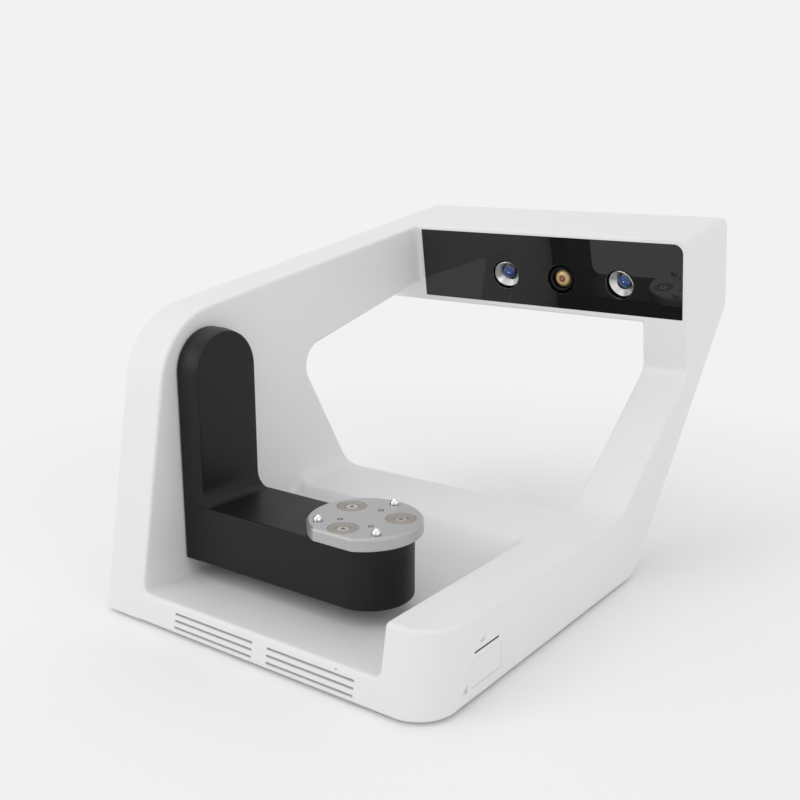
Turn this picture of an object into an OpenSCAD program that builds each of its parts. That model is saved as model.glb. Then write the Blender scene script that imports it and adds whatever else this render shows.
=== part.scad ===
// Desktop 3D scanner: white housing with an inclined column and an optics head,
// a black swing arm hung from the left wall, and a turntable on the arm.
// X points right, Y to the rear, Z up. The origin is on the table, under the middle.

/* [Housing] */
// Width of the housing at the bottom front edge
front_w = 270; // [255:1:290]
// Angle by which the right side toes out towards the rear
side_toe = 1.44; // [0:0.01:2]
// Angle by which the front face leans back
front_lean = 10.5; // [8:0.1:13]
// Height of the base above its underside
base_h = 52.5; // [48:0.5:56]
// Thickness of the hollow left wall
wall_w = 34.8; // [34:0.1:38]
// Width of the right rail and of the column above it
rail_w = 37.4; // [34:0.2:42]
// Wall thickness of the moulded shell
skin = 3; // [2.5:0.1:3.2]
// Drop from the lens axes to the sloping top, carried forward to the front edge
top_drop = 11.8; // [5:0.1:13]
// Slope of the top, rising to the rear
top_slope = 8.5; // [8:0.1:9]
// Radius of the left wall's upper front corner
wall_corner_r = 56; // [45:1:60]
// Plan radius of the base's front right corner
front_corner_r = 25; // [15:1:27]
// Height of the feet under the housing
foot_h = 2; // [1.5:0.1:4]
// Diameter of a foot
foot_d = 16; // [12:1:18]

/* [Left wall notch] */
// Distance of the notch's lower arm from the front, at base height
notch_y = 228.2; // [226:0.5:233]
// Angle of the notch's lower arm, which is also the base's rear face
notch_low_a = 120.1; // [118:0.1:122]
// Drop from the lens axes to the notch's upper arm, carried forward to the front edge
notch_drop = 89.2; // [86:0.1:91]
// Slope of the notch's upper arm
notch_top_a = 13.1; // [12:0.1:14]
// Radius of the notch's tip
notch_r = 17.5; // [12:0.5:20]

/* [Column] */
// Where the column's front edge meets the base top
column_y = 233.3; // [231:0.5:237]
// Angle of the column's front edge to the horizontal
column_front_a = 37.9; // [37:0.1:39]
// Where the column's rear edge meets the underside
column_rear_y = 263.3; // [261:0.5:267]
// Angle of the column's rear edge to the horizontal
column_rear_a = 50.3; // [49.6:0.1:51]
// Radius where the base top sweeps up into the column
column_sweep_r = 50; // [40:1:55]

/* [Head] */
// Distance of the window plane from the front, at lens height
head_y = 333.7; // [331:0.5:337]
// Angle by which the window plane leans forward
head_tilt = 9; // [8:0.1:10]
// Depth of the head, square to the window
head_depth = 86.6; // [84:0.2:90]
// Drop from the lens axes to the head's lower front edge
head_drop = 28.9; // [27.5:0.1:30]
// Radius of the head's upper right edge
head_edge_r = 10; // [6:0.5:11]
// Thickness of the head's front and rear walls
face_w = 5.5; // [5:0.1:6]

/* [Window and lenses] */
// Height of the lens axes
lens_h = 205.3; // [204:0.1:207]
// Distance between the projector and each camera
lens_pitch = 51; // [49:0.5:54]
// Height of the window below the lens axes
window_below = 24.4; // [23:0.1:25]
// Height of the window above the lens axes
window_above = 34.5; // [33:0.1:34.8]
// Margin between the window and the wall or the head's right side
window_margin = 4; // [3:0.1:4.5]
// Radius of the window's upper right corner
window_r = 7.5; // [4:0.5:9]
// Thickness of the window glass
window_t = 3; // [2:0.1:3.2]
// Diameter of a lens hole in the window
lens_hole_d = 24; // [22:0.1:25]
// Inner diameter of a camera's cone ring
cone_d = 13; // [10:0.5:15]
// Depth of a camera's cone ring
cone_depth = 9; // [7:0.5:10]

/* [Swing arm] */
// Distance of the arm's pivot from the front
pivot_y = 72; // [70:0.5:74]
// Drop from the lens axes to the arm's pivot
pivot_drop = 42.9; // [41:0.1:45]
// Height of the tray's floor, the lowest line of the round recess that the arm swings in
tray_h = 19.4; // [18:0.1:20.5]
// Width of the arm
arm_w = 57.7; // [55:0.1:60]
// Thickness of the arm's upright
upright_t = 18; // [16:0.2:20]
// Gap between the arm and the wall
arm_gap = 0.9; // [0.5:0.1:1.5]
// Height of the arm's underside
leg_low_h = 31.2; // [30:0.2:33]
// Height of the arm's level leg
leg_t = 41.2; // [40:0.2:43]
// Distance by which the leg's round end lies past the turntable's axis
leg_past = 3.5; // [0:0.5:6]
// Fillet between the arm's upright and its leg
arm_fillet_r = 11; // [8:0.5:14]
// Wall thickness of the arm
arm_skin = 3; // [2.5:0.1:3.2]
// Length along which the upright's face tapers
taper_l = 7.6; // [6:0.1:9]
// Inset of the upright's face by that taper
taper_in = 1.5; // [0.5:0.1:2]

/* [Turntable] */
// Diameter of the turntable disc
disc_d = 74.8; // [72:0.2:78]
// Thickness of the disc
disc_t = 8.4; // [7.5:0.1:10]
// Gap between the disc and the arm
disc_gap = 1.4; // [1:0.1:2]
// Distance of the disc's front flat from its centre
disc_flat = 34.3; // [33:0.1:35]
// Diameter of a magnet
magnet_d = 20; // [16:0.5:21]
// Radius of the circle on which the magnets lie
magnet_ring_r = 22.8; // [21.5:0.1:24]
// Diameter of a ball stud's head
ball_d = 6; // [5:0.1:7]
// Radius of the circle on which the ball studs lie
ball_ring_r = 30.3; // [29:0.1:31]
// Radius of the circle on which the small disc screws lie
screw_ring_r = 16; // [15:0.1:16.5]

/* [Controls] */
// Length of the power button
button_l = 33; // [28:1:36]
// Height of the power button
button_h = 17; // [15:0.5:18]
// Travel of the power button
button_travel = 1; // [0.6:0.1:1.2]
// Length of the status strip
strip_l = 26.4; // [20:0.2:30]
// Length of one front air slot
slot_l = 68; // [60:1:70]
// Height of one front air slot
slot_h = 1.6; // [1.2:0.1:2]

/* [Hidden] */
$fn = 64;

far = 600;                       // longer than the whole object
fit = 0.2;                       // gap round a cover or panel in its opening
run_fit = 0.05;                  // radial gap of a shaft in its bearing
arc_steps = 12;                  // straight pieces in a rounded corner of an outline
toe = tan(side_toe);             // sideways growth of the right side per length
top_h = lens_h - top_drop;
notch_top_h = lens_h - notch_drop;
head_low_h = lens_h - head_drop;
pivot_h = lens_h - pivot_drop;
recess_r = pivot_h - tray_h;
arm_x = wall_w + arm_gap;        // back of the arm
arm_face_x = arm_x + upright_t;
leg_top_h = leg_low_h + leg_t;
disc_low_h = leg_top_h + disc_gap;
disc_top_h = disc_low_h + disc_t;
head_low_y = head_y + (lens_h - head_low_h) * tan(head_tilt);
optics_x = 171.7 + (front_w - 270) / 2;      // projector and turntable share this plane
turn_x = optics_x;
rear_face_y = notch_y + base_h * tan(notch_low_a - 90);
rear_face_x = 100;               // middle of the rear connector plate

// ---- outlines made of straight lines with rounded corners ----
// A line is [point, angle]; material lies on its left. moved_in shifts it into the material.
function heading(a) = [cos(a), sin(a)];
function to_left(a) = [-sin(a), cos(a)];
function moved_in(l, d) = [l[0] + d * to_left(l[1]), l[1]];
function meet(l, m) = let (d = heading(l[1]), e = heading(m[1]), w = m[0] - l[0])
    l[0] + d * (w[0] * e[1] - w[1] * e[0]) / (d[0] * e[1] - d[1] * e[0]);
function turn_of(a, b) = (b - a) - 360 * round((b - a) / 360);
function corner_centre(l, m, r) = let (t = turn_of(l[1], m[1]))
    meet(l, m) - r * tan(abs(t) / 2) * heading(l[1]) + r * sign(t) * to_left(l[1]);
function corner(l, m, r) = let (t = turn_of(l[1], m[1]), c = corner_centre(l, m, r))
    r <= 0 ? [meet(l, m)]
    : [for (k = [0:arc_steps]) c - r * sign(t) * to_left(l[1] + t * k / arc_steps)];
function corner_r(l, m, r, d) = r <= 0 ? 0 : max(0, turn_of(l[1], m[1]) > 0 ? r - d : r + d);
function corner_in(l, m, r, d) = corner(moved_in(l, d), moved_in(m, d), corner_r(l, m, r, d));
// marks are [side, line, line, radius, last]: points that another form's corner has on this side,
// so that two forms with a common face have the same points on it
function mark(k, d) = let (c = corner_in(k[1], k[2], k[3], d)) c[k[4] ? len(c) - 1 : 0];
function outline(lines, radii, d = 0, marks = []) = let (n = len(lines)) [for (i = [0:n - 1])
    each concat([for (k = marks) if (k[0] == i) mark(k, d)],
        corner_in(lines[i], lines[(i + 1) % n], radii[i], d))];

module along_x(x0, x1) translate([x0, 0, 0]) rotate([90, 0, 90]) linear_extrude(x1 - x0) children();
module along_y(y0, y1) translate([0, y1, 0]) rotate([90, 0, 0]) linear_extrude(y1 - y0) children();
module along_z(z0, z1) translate([0, 0, z0]) linear_extrude(z1 - z0) children();
module rod_x(x0, x1, d) translate([x0, 0, 0]) rotate([0, 90, 0]) cylinder(h = x1 - x0, d = d);
module rod_z(z0, z1, d) translate([0, 0, z0]) cylinder(h = z1 - z0, d = d);

// The right side, and the lines of the side profiles, in the plane of Y and height
function side_x(y) = front_w + toe * y;
head_top_line = [[0, top_h], 180 + top_slope];
head_front_line = [[head_y, lens_h], 270 + head_tilt];
head_rear_line = moved_in([[head_y, lens_h], 90 + head_tilt], -head_depth);
head_low_line = [[head_low_y, head_low_h], top_slope];
column_rear_line = [[column_rear_y, 0], column_rear_a];
column_front_line = [[column_y, base_h], 180 + column_front_a];
under_line = [[0, 0], 0];
front_line = [[0, 0], 270 - front_lean];
notch_low_line = [[notch_y, base_h], notch_low_a];
notch_top_line = [[0, notch_top_h], notch_top_a];
head_middle_line = moved_in([[head_y, lens_h], 90 + head_tilt], -head_depth / 2);
base_top_line = [[0, base_h], 180];

rear_low_r = 8;                  // radii of the corners that the photograph doesn't name
rear_kink_r = 12;
rear_top_r = 6;
rear_side_r = 12;
column_kink_r = 8;
column_heel_r = 28;
base_lines = [under_line, notch_low_line, base_top_line, front_line];
base_radii = [rear_low_r, 2, 0, 0];
wall_lines = [under_line, notch_low_line, notch_top_line, head_middle_line, head_top_line, front_line];
wall_radii = [rear_low_r, notch_r, 0, 0, wall_corner_r, 0];
wall_marks = [[1, notch_low_line, base_top_line, base_radii[1], false],
    [4, head_top_line, head_front_line, 0, false], [5, base_top_line, front_line, 0, false]];
head_lines = [head_low_line, head_rear_line, head_top_line, head_front_line];
head_radii = [rear_kink_r, rear_top_r, 0, 0];
head_marks = [[2, head_middle_line, head_top_line, 0, false]];
column_lines = [under_line, column_rear_line, head_rear_line, head_top_line, head_front_line,
    column_front_line, base_top_line, [[column_y / 2, 0], 270]];
column_radii = [column_heel_r, rear_kink_r, rear_top_r, 0, column_kink_r, column_sweep_r, 0, 0];
column_marks = [[2, head_low_line, head_rear_line, rear_kink_r, true],
    [3, head_middle_line, head_top_line, 0, false], [4, head_front_line, head_low_line, 0, false]];

// Overall size, from the roundest points of the rear right corner
side_line = [[side_x(head_y), 0], 90 - side_toe];          // in the head's own plan
rear_line = [[0, head_depth], 180];
left_line = [[0, 0], 270];
object_w = corner_centre(side_line, rear_line, rear_side_r)[0] + rear_side_r;
object_d = max(corner_centre(column_rear_line, head_rear_line, rear_kink_r)[0],
    corner_centre(head_low_line, head_rear_line, rear_kink_r)[0]) + rear_kink_r;
module placed() translate([-object_w / 2, -object_d / 2, foot_h]) children();

// ---- solid forms of the housing, each drawn d mm inside its surface ----
// The plan left of the right side, or a strip of width w along it
module plan(d = 0) polygon([[d, -far], [side_x(-far) - d, -far], [side_x(far) - d, far], [d, far]]);
module side_strip(w, d = 0) polygon([[side_x(-far) - w + d, -far], [side_x(-far) - d, -far],
    [side_x(far) - d, far], [side_x(far) - w + d, far]]);
// What is taken off between two lines of a plan to round their corner
module off_corner(l, m, r, d = 0) translate([0, 0, -far]) linear_extrude(2 * far)
    polygon(concat([meet(moved_in(l, -1), moved_in(m, -1))], corner(moved_in(l, d), moved_in(m, d), max(r - d, 0.1))));
// Rounds the upright edges, and the head's upper right edge
module rounded(d = 0) difference() {
    children();
    rotate([-front_lean, 0, 0]) off_corner([[0, 0], 0], [[front_w, 0], 90 - side_toe], front_corner_r, d);
    in_head() off_corner(side_line, rear_line, rear_side_r, d);
    in_head() off_corner(rear_line, left_line, rear_side_r, d);
    translate([side_x(head_y) - d, head_y, top_h + head_y * tan(top_slope) - d / cos(top_slope)])
        rotate([0, 0, -side_toe]) rotate([top_slope, 0, 0]) rotate([90, 0, 0])
            top_edge(max(head_edge_r - d, 0.1));
}
module top_edge(r) translate([0, 0, -far]) linear_extrude(2 * far) difference() {
    translate([-r, -r]) square(r + 1);
    translate([-r, -r]) circle(r);
}
module base_form(d = 0) intersection() {
    along_x(0, far) polygon(outline(base_lines, base_radii, d));
    along_z(-1, far) plan(d);
}
module wall_form(d = 0) along_x(d, wall_w - d) polygon(outline(wall_lines, wall_radii, d, wall_marks));
module head_form(d = 0) intersection() {
    along_x(0, far) polygon(outline(head_lines, head_radii, d, head_marks));
    along_z(-1, far) plan(d);
}
module column_form(d = 0) intersection() {
    along_x(0, far) polygon(outline(column_lines, column_radii, d, column_marks));
    along_z(-1, far) side_strip(rail_w, d);
}
module whole_form(d = 0) rounded(d) {
    union() {
        base_form(d);
        wall_form(d);
        head_form(d);
        column_form(d);
    }
}
// Room in which the arm and the turntable swing, g mm larger on every side
module recess(g = 0) intersection() {
    union() {
        translate([0, pivot_y, pivot_h]) rod_x(0, far, 2 * (recess_r + g));
        translate([0, pivot_y - far, tray_h - g]) cube([far, far, far]);
    }
    along_z(0, far) polygon([[wall_w - g, -far], [side_x(-far) - rail_w + g, -far],
        [side_x(far) - rail_w + g, far], [wall_w - g, far]]);
}

// ---- frames in which the head, the right side and the rear face are drawn ----
// Head: X right, Y into the head, Z up along the window, origin on the window at lens height
module in_head() translate([0, head_y, lens_h]) rotate([head_tilt, 0, 0]) children();
// Right side: X out of the side, origin on the side
module on_side(y, z) translate([side_x(y), y, z]) rotate([0, 0, -side_toe]) children();
// Rear face: X right, Y into the housing, Z up along the face, origin at its lower edge
module on_rear(x) translate([x, rear_face_y, 0]) rotate([notch_low_a - 90, 0, 0])
    mirror([0, 1, 0]) children();

// ---- screws ----
screw_d = 3;
screw_head_d = 5.5;
screw_head_h = 2;
hex_d = 2.6;
hex_h = 1.2;
screw_room = 0.1;                // gap round a screw's shank or sunk head
// Pan head screw pointing down, the underside of its head at the origin
module pan_screw(l, d = screw_d) difference() {
    union() {
        cylinder(h = screw_head_h * d / screw_d, d = screw_head_d * d / screw_d);
        translate([0, 0, -l]) cylinder(h = l + screw_head_h / 2, d = d);
    }
    translate([0, 0, (screw_head_h - hex_h) * d / screw_d]) cylinder(h = far, d = hex_d * d / screw_d, $fn = 6);
}
// Sunk screw pointing down, its top at the origin
module flat_screw(l) difference() {
    union() {
        translate([0, 0, -l]) cylinder(h = l, d = screw_d);
        translate([0, 0, -screw_head_h]) cylinder(h = screw_head_h, d = screw_head_d);
    }
    translate([0, 0, -hex_h]) cylinder(h = far, d = hex_d, $fn = 6);
}
module screw_hole(l, d = screw_d) translate([0, 0, -l]) cylinder(h = 2 * l, d = d + 2 * screw_room);
module flat_hole(l) {
    screw_hole(l);
    translate([0, 0, -screw_head_h]) cylinder(h = 2 * l, d = screw_head_d + 2 * screw_room);
}
module to_plus_x() rotate([0, -90, 0]) children();      // a screw then points along +X
module to_minus_x() rotate([0, 90, 0]) children();
module to_front() rotate([-90, 0, 0]) children();       // a screw then points along -Y
module upwards() mirror([0, 0, 1]) children();

// ---- left side cover ----
cover_low_h = 20;
cover_lines = [[[0, cover_low_h], 0], notch_low_line, notch_top_line, [[head_y, lens_h], 90 + head_tilt],
    head_top_line, front_line];
cover_radii = [0, notch_r, 0, 0, wall_corner_r, 0];
cover_ledge = 0.6;               // width of the ledge inside the mouths of the cover and the base plate
cover_screw_l = 9;
cover_posts = [[26, 50], [198, 63], [172, lens_h - 77.3], [112, lens_h - 8.3], [296, lens_h + 5.7]];      // y, z of the screw posts
post_d = 9;
module cover_plan(d) polygon(outline(cover_lines, cover_radii, skin + cover_ledge + d));
module at_cover_posts() for (p = cover_posts) translate([0, p[0], p[1]]) children();
module left_side_cover() color("white") placed() difference() {
    along_x(0, skin) cover_plan(fit);
    at_cover_posts() to_plus_x() flat_hole(cover_screw_l);
}
module side_cover_screws() color("silver") placed() at_cover_posts() to_plus_x() flat_screw(cover_screw_l);

// ---- head rear cover ----
rear_cover_low = -14;            // its extent in the head's frame
rear_cover_top = 29;
rear_cover_x0 = 18;
rear_cover_x1 = side_x(head_y + head_depth) - 20;
rear_ledge = 6;
rear_screw_l = 5;
rear_cover_screw_at = [for (x = [rear_cover_x0 + 30, rear_cover_x1 - 30], z = [rear_cover_low + 3, rear_cover_top - 3])
    [x, z]];
module rear_panel(inset, y0, y1) translate([rear_cover_x0 + inset, y0, rear_cover_low + inset])
    cube([rear_cover_x1 - rear_cover_x0 - 2 * inset, y1 - y0, rear_cover_top - rear_cover_low - 2 * inset]);
module at_rear_screws() in_head() for (p = rear_cover_screw_at) translate([p[0], head_depth, p[1]]) to_front() children();
module head_rear_cover() color("white") placed() difference() {
    in_head() rear_panel(fit, head_depth - skin + 0.3, head_depth);
    at_rear_screws() flat_hole(rear_screw_l);
}
module rear_cover_screws() color("silver") placed() at_rear_screws() flat_screw(rear_screw_l);

// ---- base plate, its screws and the feet ----
plate_t = 2.5;
plate_rear_y = 234;
base_screw_l = 9;
base_posts = [[50, 18, 18], [215, 18, 18], [50, 118, 26], [222, 118, 26], [50, 222, 50], [222, 222, 50]];
foot_at = [[24, 24], [240, 30], [24, 212], [250, 212]];
module plate_plan(d) polygon(outline([[[0, skin + 2], 0], [[front_w - skin - cover_ledge, 0], 90 - side_toe],
    [[0, plate_rear_y], 180], [[skin + cover_ledge, 0], 270]], [front_corner_r, 3, 3, 3], d));
module at_base_posts() for (p = base_posts) translate([p[0], p[1], 0]) children();
module base_plate() color("dimgray") placed() difference() {
    along_z(0, plate_t) plate_plan(fit);
    at_base_posts() upwards() flat_hole(base_screw_l);
}
module base_screws() color("silver") placed() at_base_posts() upwards() flat_screw(base_screw_l);
module rubber_feet() color("dimgray") placed() for (p = foot_at) translate([p[0], p[1], -foot_h])
    rotate_extrude() polygon([[0, 0], [foot_d / 2 - 0.6, 0], [foot_d / 2, foot_h], [0, foot_h]]);

// ---- camera window ----
window_x0 = wall_w + window_margin;
window_x1 = side_x(head_y) - window_margin - 0.9;
window_ledge = 4;
window_lines = [[[0, -window_below], 0], [[window_x1, 0], 90], [[0, window_above], 180], [[window_x0, 0], 270]];
module window_prism(d, y0, y1) along_y(y0, y1) polygon(outline(window_lines, [0.8, window_r, 0.8, 0.8], d));
camera_at = [optics_x - lens_pitch, optics_x + lens_pitch];
lens_room = 0.15;
module camera_window() color("black") placed() in_head() difference() {
    window_prism(fit / 2, 0, window_t);
    for (x = [camera_at[0], optics_x, camera_at[1]]) translate([x, 0, 0]) rod_y(-1, far, lens_hole_d);
}
module rod_y(y0, y1, d) translate([0, y1, 0]) rotate([90, 0, 0]) cylinder(h = y1 - y0, d = d);

// ---- optics bracket with cameras and projector ----
bracket_y = 24;                  // depth of its front face in the head
bracket_t = 3;
bracket_half_w = 86;
bracket_half_h = 22;
pillar_x = 80;
pillar_w = 8;
pillar_low = 0.9 - head_drop;    // the pillars end inside the head's floor and roof
pillar_top = top_h + head_y * tan(top_slope) - lens_h - skin;
camera_w = 32;
projector_w = 46;
projector_h = 36;
projector_l = 50;
projector_flange_w = 62;
projector_flange_h = 42;
flange_t = 3;
barrel_d = 20;
optics_screw_l = 7;
camera_screw_at = [[12, 12], [-12, -12]];
flange_screw_at = [[27, 16], [-27, 16], [27, -16], [-27, -16]];
pillar_screw_at = [[pillar_x, 15], [-pillar_x, 15], [pillar_x, -15], [-pillar_x, -15]];
module at_optics_screws() in_head() {
    for (x = camera_at, p = camera_screw_at) translate([x + p[0], bracket_y + bracket_t, p[1]]) to_front() children();
    for (p = concat(flange_screw_at, pillar_screw_at)) translate([optics_x + p[0], bracket_y + bracket_t, p[1]])
        to_front() children();
}
module optics_bracket() color("silver") placed() difference() {
    in_head() translate([optics_x - bracket_half_w, bracket_y, -bracket_half_h])
        cube([2 * bracket_half_w, bracket_t, 2 * bracket_half_h]);
    in_head() translate([optics_x - projector_w / 2 - fit, 0, -projector_h / 2 - fit])
        cube([projector_w + 2 * fit, far, projector_h + 2 * fit]);
    at_optics_screws() screw_hole(optics_screw_l);
}
module optics_screws() color("silver") placed() at_optics_screws() pan_screw(optics_screw_l);
module camera_body(x) color("dimgray") placed() difference() {
    in_head() translate([x, 0, 0]) {
        translate([-camera_w / 2, cone_depth, -camera_w / 2])
            cube([camera_w, bracket_y - cone_depth, camera_w]);
    }
    at_optics_screws() screw_hole(optics_screw_l);
}
// The ring lies in the window's hole and stands on the camera's front
module cone_ring(x) color("silver") placed() in_head() translate([x, 0, 0]) rotate([-90, 0, 0])
    rotate_extrude() polygon([[lens_hole_d / 2 - 0.9, 0.2], [lens_hole_d / 2 - lens_room, 0.2],
        [lens_hole_d / 2 - lens_room, cone_depth], [cone_d / 2, cone_depth], [cone_d / 2, cone_depth - 2.5]]);
module lens_glass(x) color("midnightblue") placed() in_head() translate([x, 0, 0]) rotate([-90, 0, 0])
    rotate_extrude() polygon(concat([[0, cone_depth], [0, cone_depth - 3]],
        [for (a = [5:5:30]) [glass_bow * sin(a) / sin(30), cone_depth - 3 + 1.4 * (1 - cos(a)) / (1 - cos(30))]],
        [[glass_bow, cone_depth]]));
glass_bow = cone_d / 2 - 0.05;
module camera_left_body() camera_body(camera_at[0]);
module camera_right_body() camera_body(camera_at[1]);
module camera_left_ring() cone_ring(camera_at[0]);
module camera_right_ring() cone_ring(camera_at[1]);
module camera_left_glass() lens_glass(camera_at[0]);
module camera_right_glass() lens_glass(camera_at[1]);
module projector_body() color("dimgray") placed() difference() {
    in_head() translate([optics_x, 0, 0]) {
        translate([-projector_w / 2, bracket_y - flange_t, -projector_h / 2])
            cube([projector_w, projector_l, projector_h]);
        translate([-projector_flange_w / 2, bracket_y - flange_t, -projector_flange_h / 2])
            cube([projector_flange_w, flange_t, projector_flange_h]);
    }
    at_optics_screws() screw_hole(optics_screw_l);
}
barrel_y = 1;
barrel_wall = 2;
module projector_barrel() color("black") placed() in_head() translate([optics_x, 0, 0]) rotate([-90, 0, 0])
    rotate_extrude() polygon([[barrel_d / 2 - barrel_wall, barrel_y], [barrel_d / 2, barrel_y],
        [barrel_d / 2, bracket_y - flange_t], [0, bracket_y - flange_t], [0, barrel_y + 8],
        [barrel_d / 2 - barrel_wall, barrel_y + 8]]);
projector_glass_r = barrel_d / 2 - barrel_wall - 0.05;
module projector_glass() color("darkgoldenrod") placed() in_head() translate([optics_x, 0, 0]) rotate([-90, 0, 0])
    rotate_extrude() polygon(concat([[0, barrel_y + 8], [0, barrel_y + 1]],
        [for (a = [6:6:48]) [projector_glass_r * sin(a) / sin(48), barrel_y + 1 + 3.4 * (1 - cos(a)) / (1 - cos(48))]],
        [[projector_glass_r, barrel_y + 8]]));

// ---- tilt drive in the left wall ----
shaft_d = 12;
tilt_bearing_d = 28;
tilt_bearing_t = 8;
bearing_block_d = 38;
wall_inner_x = wall_w - skin;
bearing_x0 = wall_inner_x - 2 * tilt_bearing_t;
pulley_x0 = 4.2;
pulley_x1 = 9.8;
tilt_pulley_d = 50;
tilt_pinion_d = 16;
belt_t = 1.4;
belt_edge = 0.4;                 // the belt is this much narrower than its pulley on each side
belt_gap = 0.3;                  // gap between the belt and its pulleys
motor_y = 120;
motor_z = pivot_h - 67.4;
motor_pilot_d = 20;
motor_w = 42;
motor_plate_x = 11.8;
motor_plate_t = 2;
motor_post = 27;
motor_shaft_d = 5;
bracket_screw_l = 7;
// Outline of a belt round two pulleys, grown by g
function belt_loop(c, r, e, q, g) = let (v = e - c, a = atan2(v[1], v[0]), b = acos((r - q) / norm(v)))
    concat([for (k = [0:24]) c + (r + g) * heading(a + b + (360 - 2 * b) * k / 24)],
        [for (k = [0:24]) e + (q + g) * heading(a - b + 2 * b * k / 24)]);
module belt(c, r, e, q) difference() {
    polygon(belt_loop(c, r, e, q, belt_gap + belt_t));
    polygon(belt_loop(c, r, e, q, belt_gap));
}
module at_pivot() translate([0, pivot_y, pivot_h]) children();
module at_motor() translate([0, motor_y, motor_z]) children();
module at_motor_posts() at_motor() for (y = [-motor_post, motor_post], z = [-motor_post, motor_post])
    translate([0, y, z]) children();
module bearing_ring_x(x0, outer, bore, t) difference() {
    rod_x(x0, x0 + t, outer);
    rod_x(x0 - 1, x0 + t + 1, bore);
}
module bearing_housing() color("silver") placed() at_pivot() bearing_ring_x(bearing_x0, bearing_block_d,
    tilt_bearing_d, 2 * tilt_bearing_t);
module tilt_bearings() color("gainsboro") placed() at_pivot() for (k = [0, 1])
    bearing_ring_x(bearing_x0 + k * tilt_bearing_t, tilt_bearing_d, shaft_d, tilt_bearing_t - 0.1 * k);
module motor_bracket() color("silver") placed() difference() {
    at_motor() translate([motor_plate_x, -motor_post - 4, -motor_post - 4])
        cube([motor_plate_t, 2 * motor_post + 8, 2 * motor_post + 8]);
    at_motor() rod_x(0, far, motor_pilot_d);
    at_motor_posts() translate([motor_plate_x, 0, 0]) to_plus_x() screw_hole(bracket_screw_l);
}
module bracket_screws() color("silver") placed() at_motor_posts() translate([motor_plate_x, 0, 0])
    to_plus_x() pan_screw(bracket_screw_l);
module tilt_motor() color("dimgray") placed() at_motor() difference() {
    translate([motor_plate_x + motor_plate_t, -motor_w / 2, -motor_w / 2])
        cube([wall_inner_x - motor_plate_x - motor_plate_t, motor_w, motor_w]);
    rod_x(0, motor_plate_x + motor_plate_t + 8, motor_shaft_d + 2 * run_fit);
}
module tilt_pinion() color("silver") placed() at_motor() union() {
    rod_x(pulley_x0, pulley_x1, tilt_pinion_d);
    rod_x(pulley_x1 - 1, motor_plate_x + motor_plate_t + 7, motor_shaft_d);
}
module tilt_belt() color("black") placed() along_x(pulley_x0 + belt_edge, pulley_x1 - belt_edge)
    belt([pivot_y, pivot_h], tilt_pulley_d / 2, [motor_y, motor_z], tilt_pinion_d / 2);
module tilt_pulley() color("silver") placed() at_pivot() bearing_ring_x(pulley_x0, tilt_pulley_d, shaft_d - 2 * run_fit,
    pulley_x1 - pulley_x0);

// ---- swing arm ----
flange_d = 34;
shaft_flange_t = 4;
shaft_screw_l = 6;
shaft_screw_r = 13;
leg_end_x = turn_x + leg_past;
arm_floor_t = 2.5;
arm_screw_l = 9;
arm_post_d = 7;
arm_post_edge = 4.35;            // from an arm post's axis to the arm's inner side
arm_posts = [for (x = [turn_x - 97, turn_x - 27], s = [-1, 1])
    [x, pivot_y + s * (arm_w / 2 - arm_skin - arm_post_edge)]];
module shaft_form() at_pivot() union() {
    rod_x(pulley_x0, arm_x + arm_skin + 1, shaft_d - 2 * run_fit);
    rod_x(arm_x + arm_skin, arm_x + arm_skin + shaft_flange_t, flange_d);
}
module at_shaft_screws() at_pivot() for (a = [45:90:315]) translate([arm_x + arm_skin + shaft_flange_t,
    shaft_screw_r * cos(a), shaft_screw_r * sin(a)]) to_minus_x() children();
module tilt_shaft() color("silver") placed() difference() {
    shaft_form();
    at_shaft_screws() screw_hole(shaft_screw_l);
}
module shaft_screws() color("gray") placed() at_shaft_screws() pan_screw(shaft_screw_l);
// Side view of the upright, r its half width
module upright_side(r, low) {
    translate([pivot_y, pivot_h]) circle(r);
    translate([pivot_y - r, low]) square([2 * r, pivot_h - low]);
}
// Plan of the leg, r its half width
module leg_plan(r, x0) {
    translate([leg_end_x, pivot_y]) circle(r);
    translate([x0, pivot_y - r]) square([leg_end_x - x0, 2 * r]);
}
module arm_form() {
    along_x(arm_x, arm_face_x - taper_l) upright_side(arm_w / 2, leg_low_h);
    at_pivot() translate([arm_face_x - taper_l, 0, 0]) rotate([0, 90, 0])
        cylinder(h = taper_l, r1 = arm_w / 2, r2 = arm_w / 2 - taper_in);
    along_z(leg_low_h, pivot_h) translate([arm_face_x, pivot_y]) polygon([[-taper_l, -arm_w / 2],
        [0, taper_in - arm_w / 2], [0, arm_w / 2 - taper_in], [-taper_l, arm_w / 2]]);
    along_z(leg_low_h, leg_top_h) leg_plan(arm_w / 2, arm_x);
    along_y(pivot_y - arm_w / 2 + taper_in, pivot_y + arm_w / 2 - taper_in)
        translate([arm_face_x, leg_top_h]) difference() {
            translate([-1, -1]) square(arm_fillet_r + 1);
            translate([arm_fillet_r, arm_fillet_r]) circle(arm_fillet_r);
        }
}
module arm_cavity() {
    along_x(arm_x + arm_skin, arm_face_x - arm_skin)
        upright_side(arm_w / 2 - arm_skin - taper_in, leg_low_h - 1);
    along_z(leg_low_h - 1, leg_top_h - arm_skin) leg_plan(arm_w / 2 - arm_skin, arm_x + arm_skin);
}
module at_arm_posts() for (p = arm_posts) translate([p[0], p[1], leg_low_h]) children();
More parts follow.
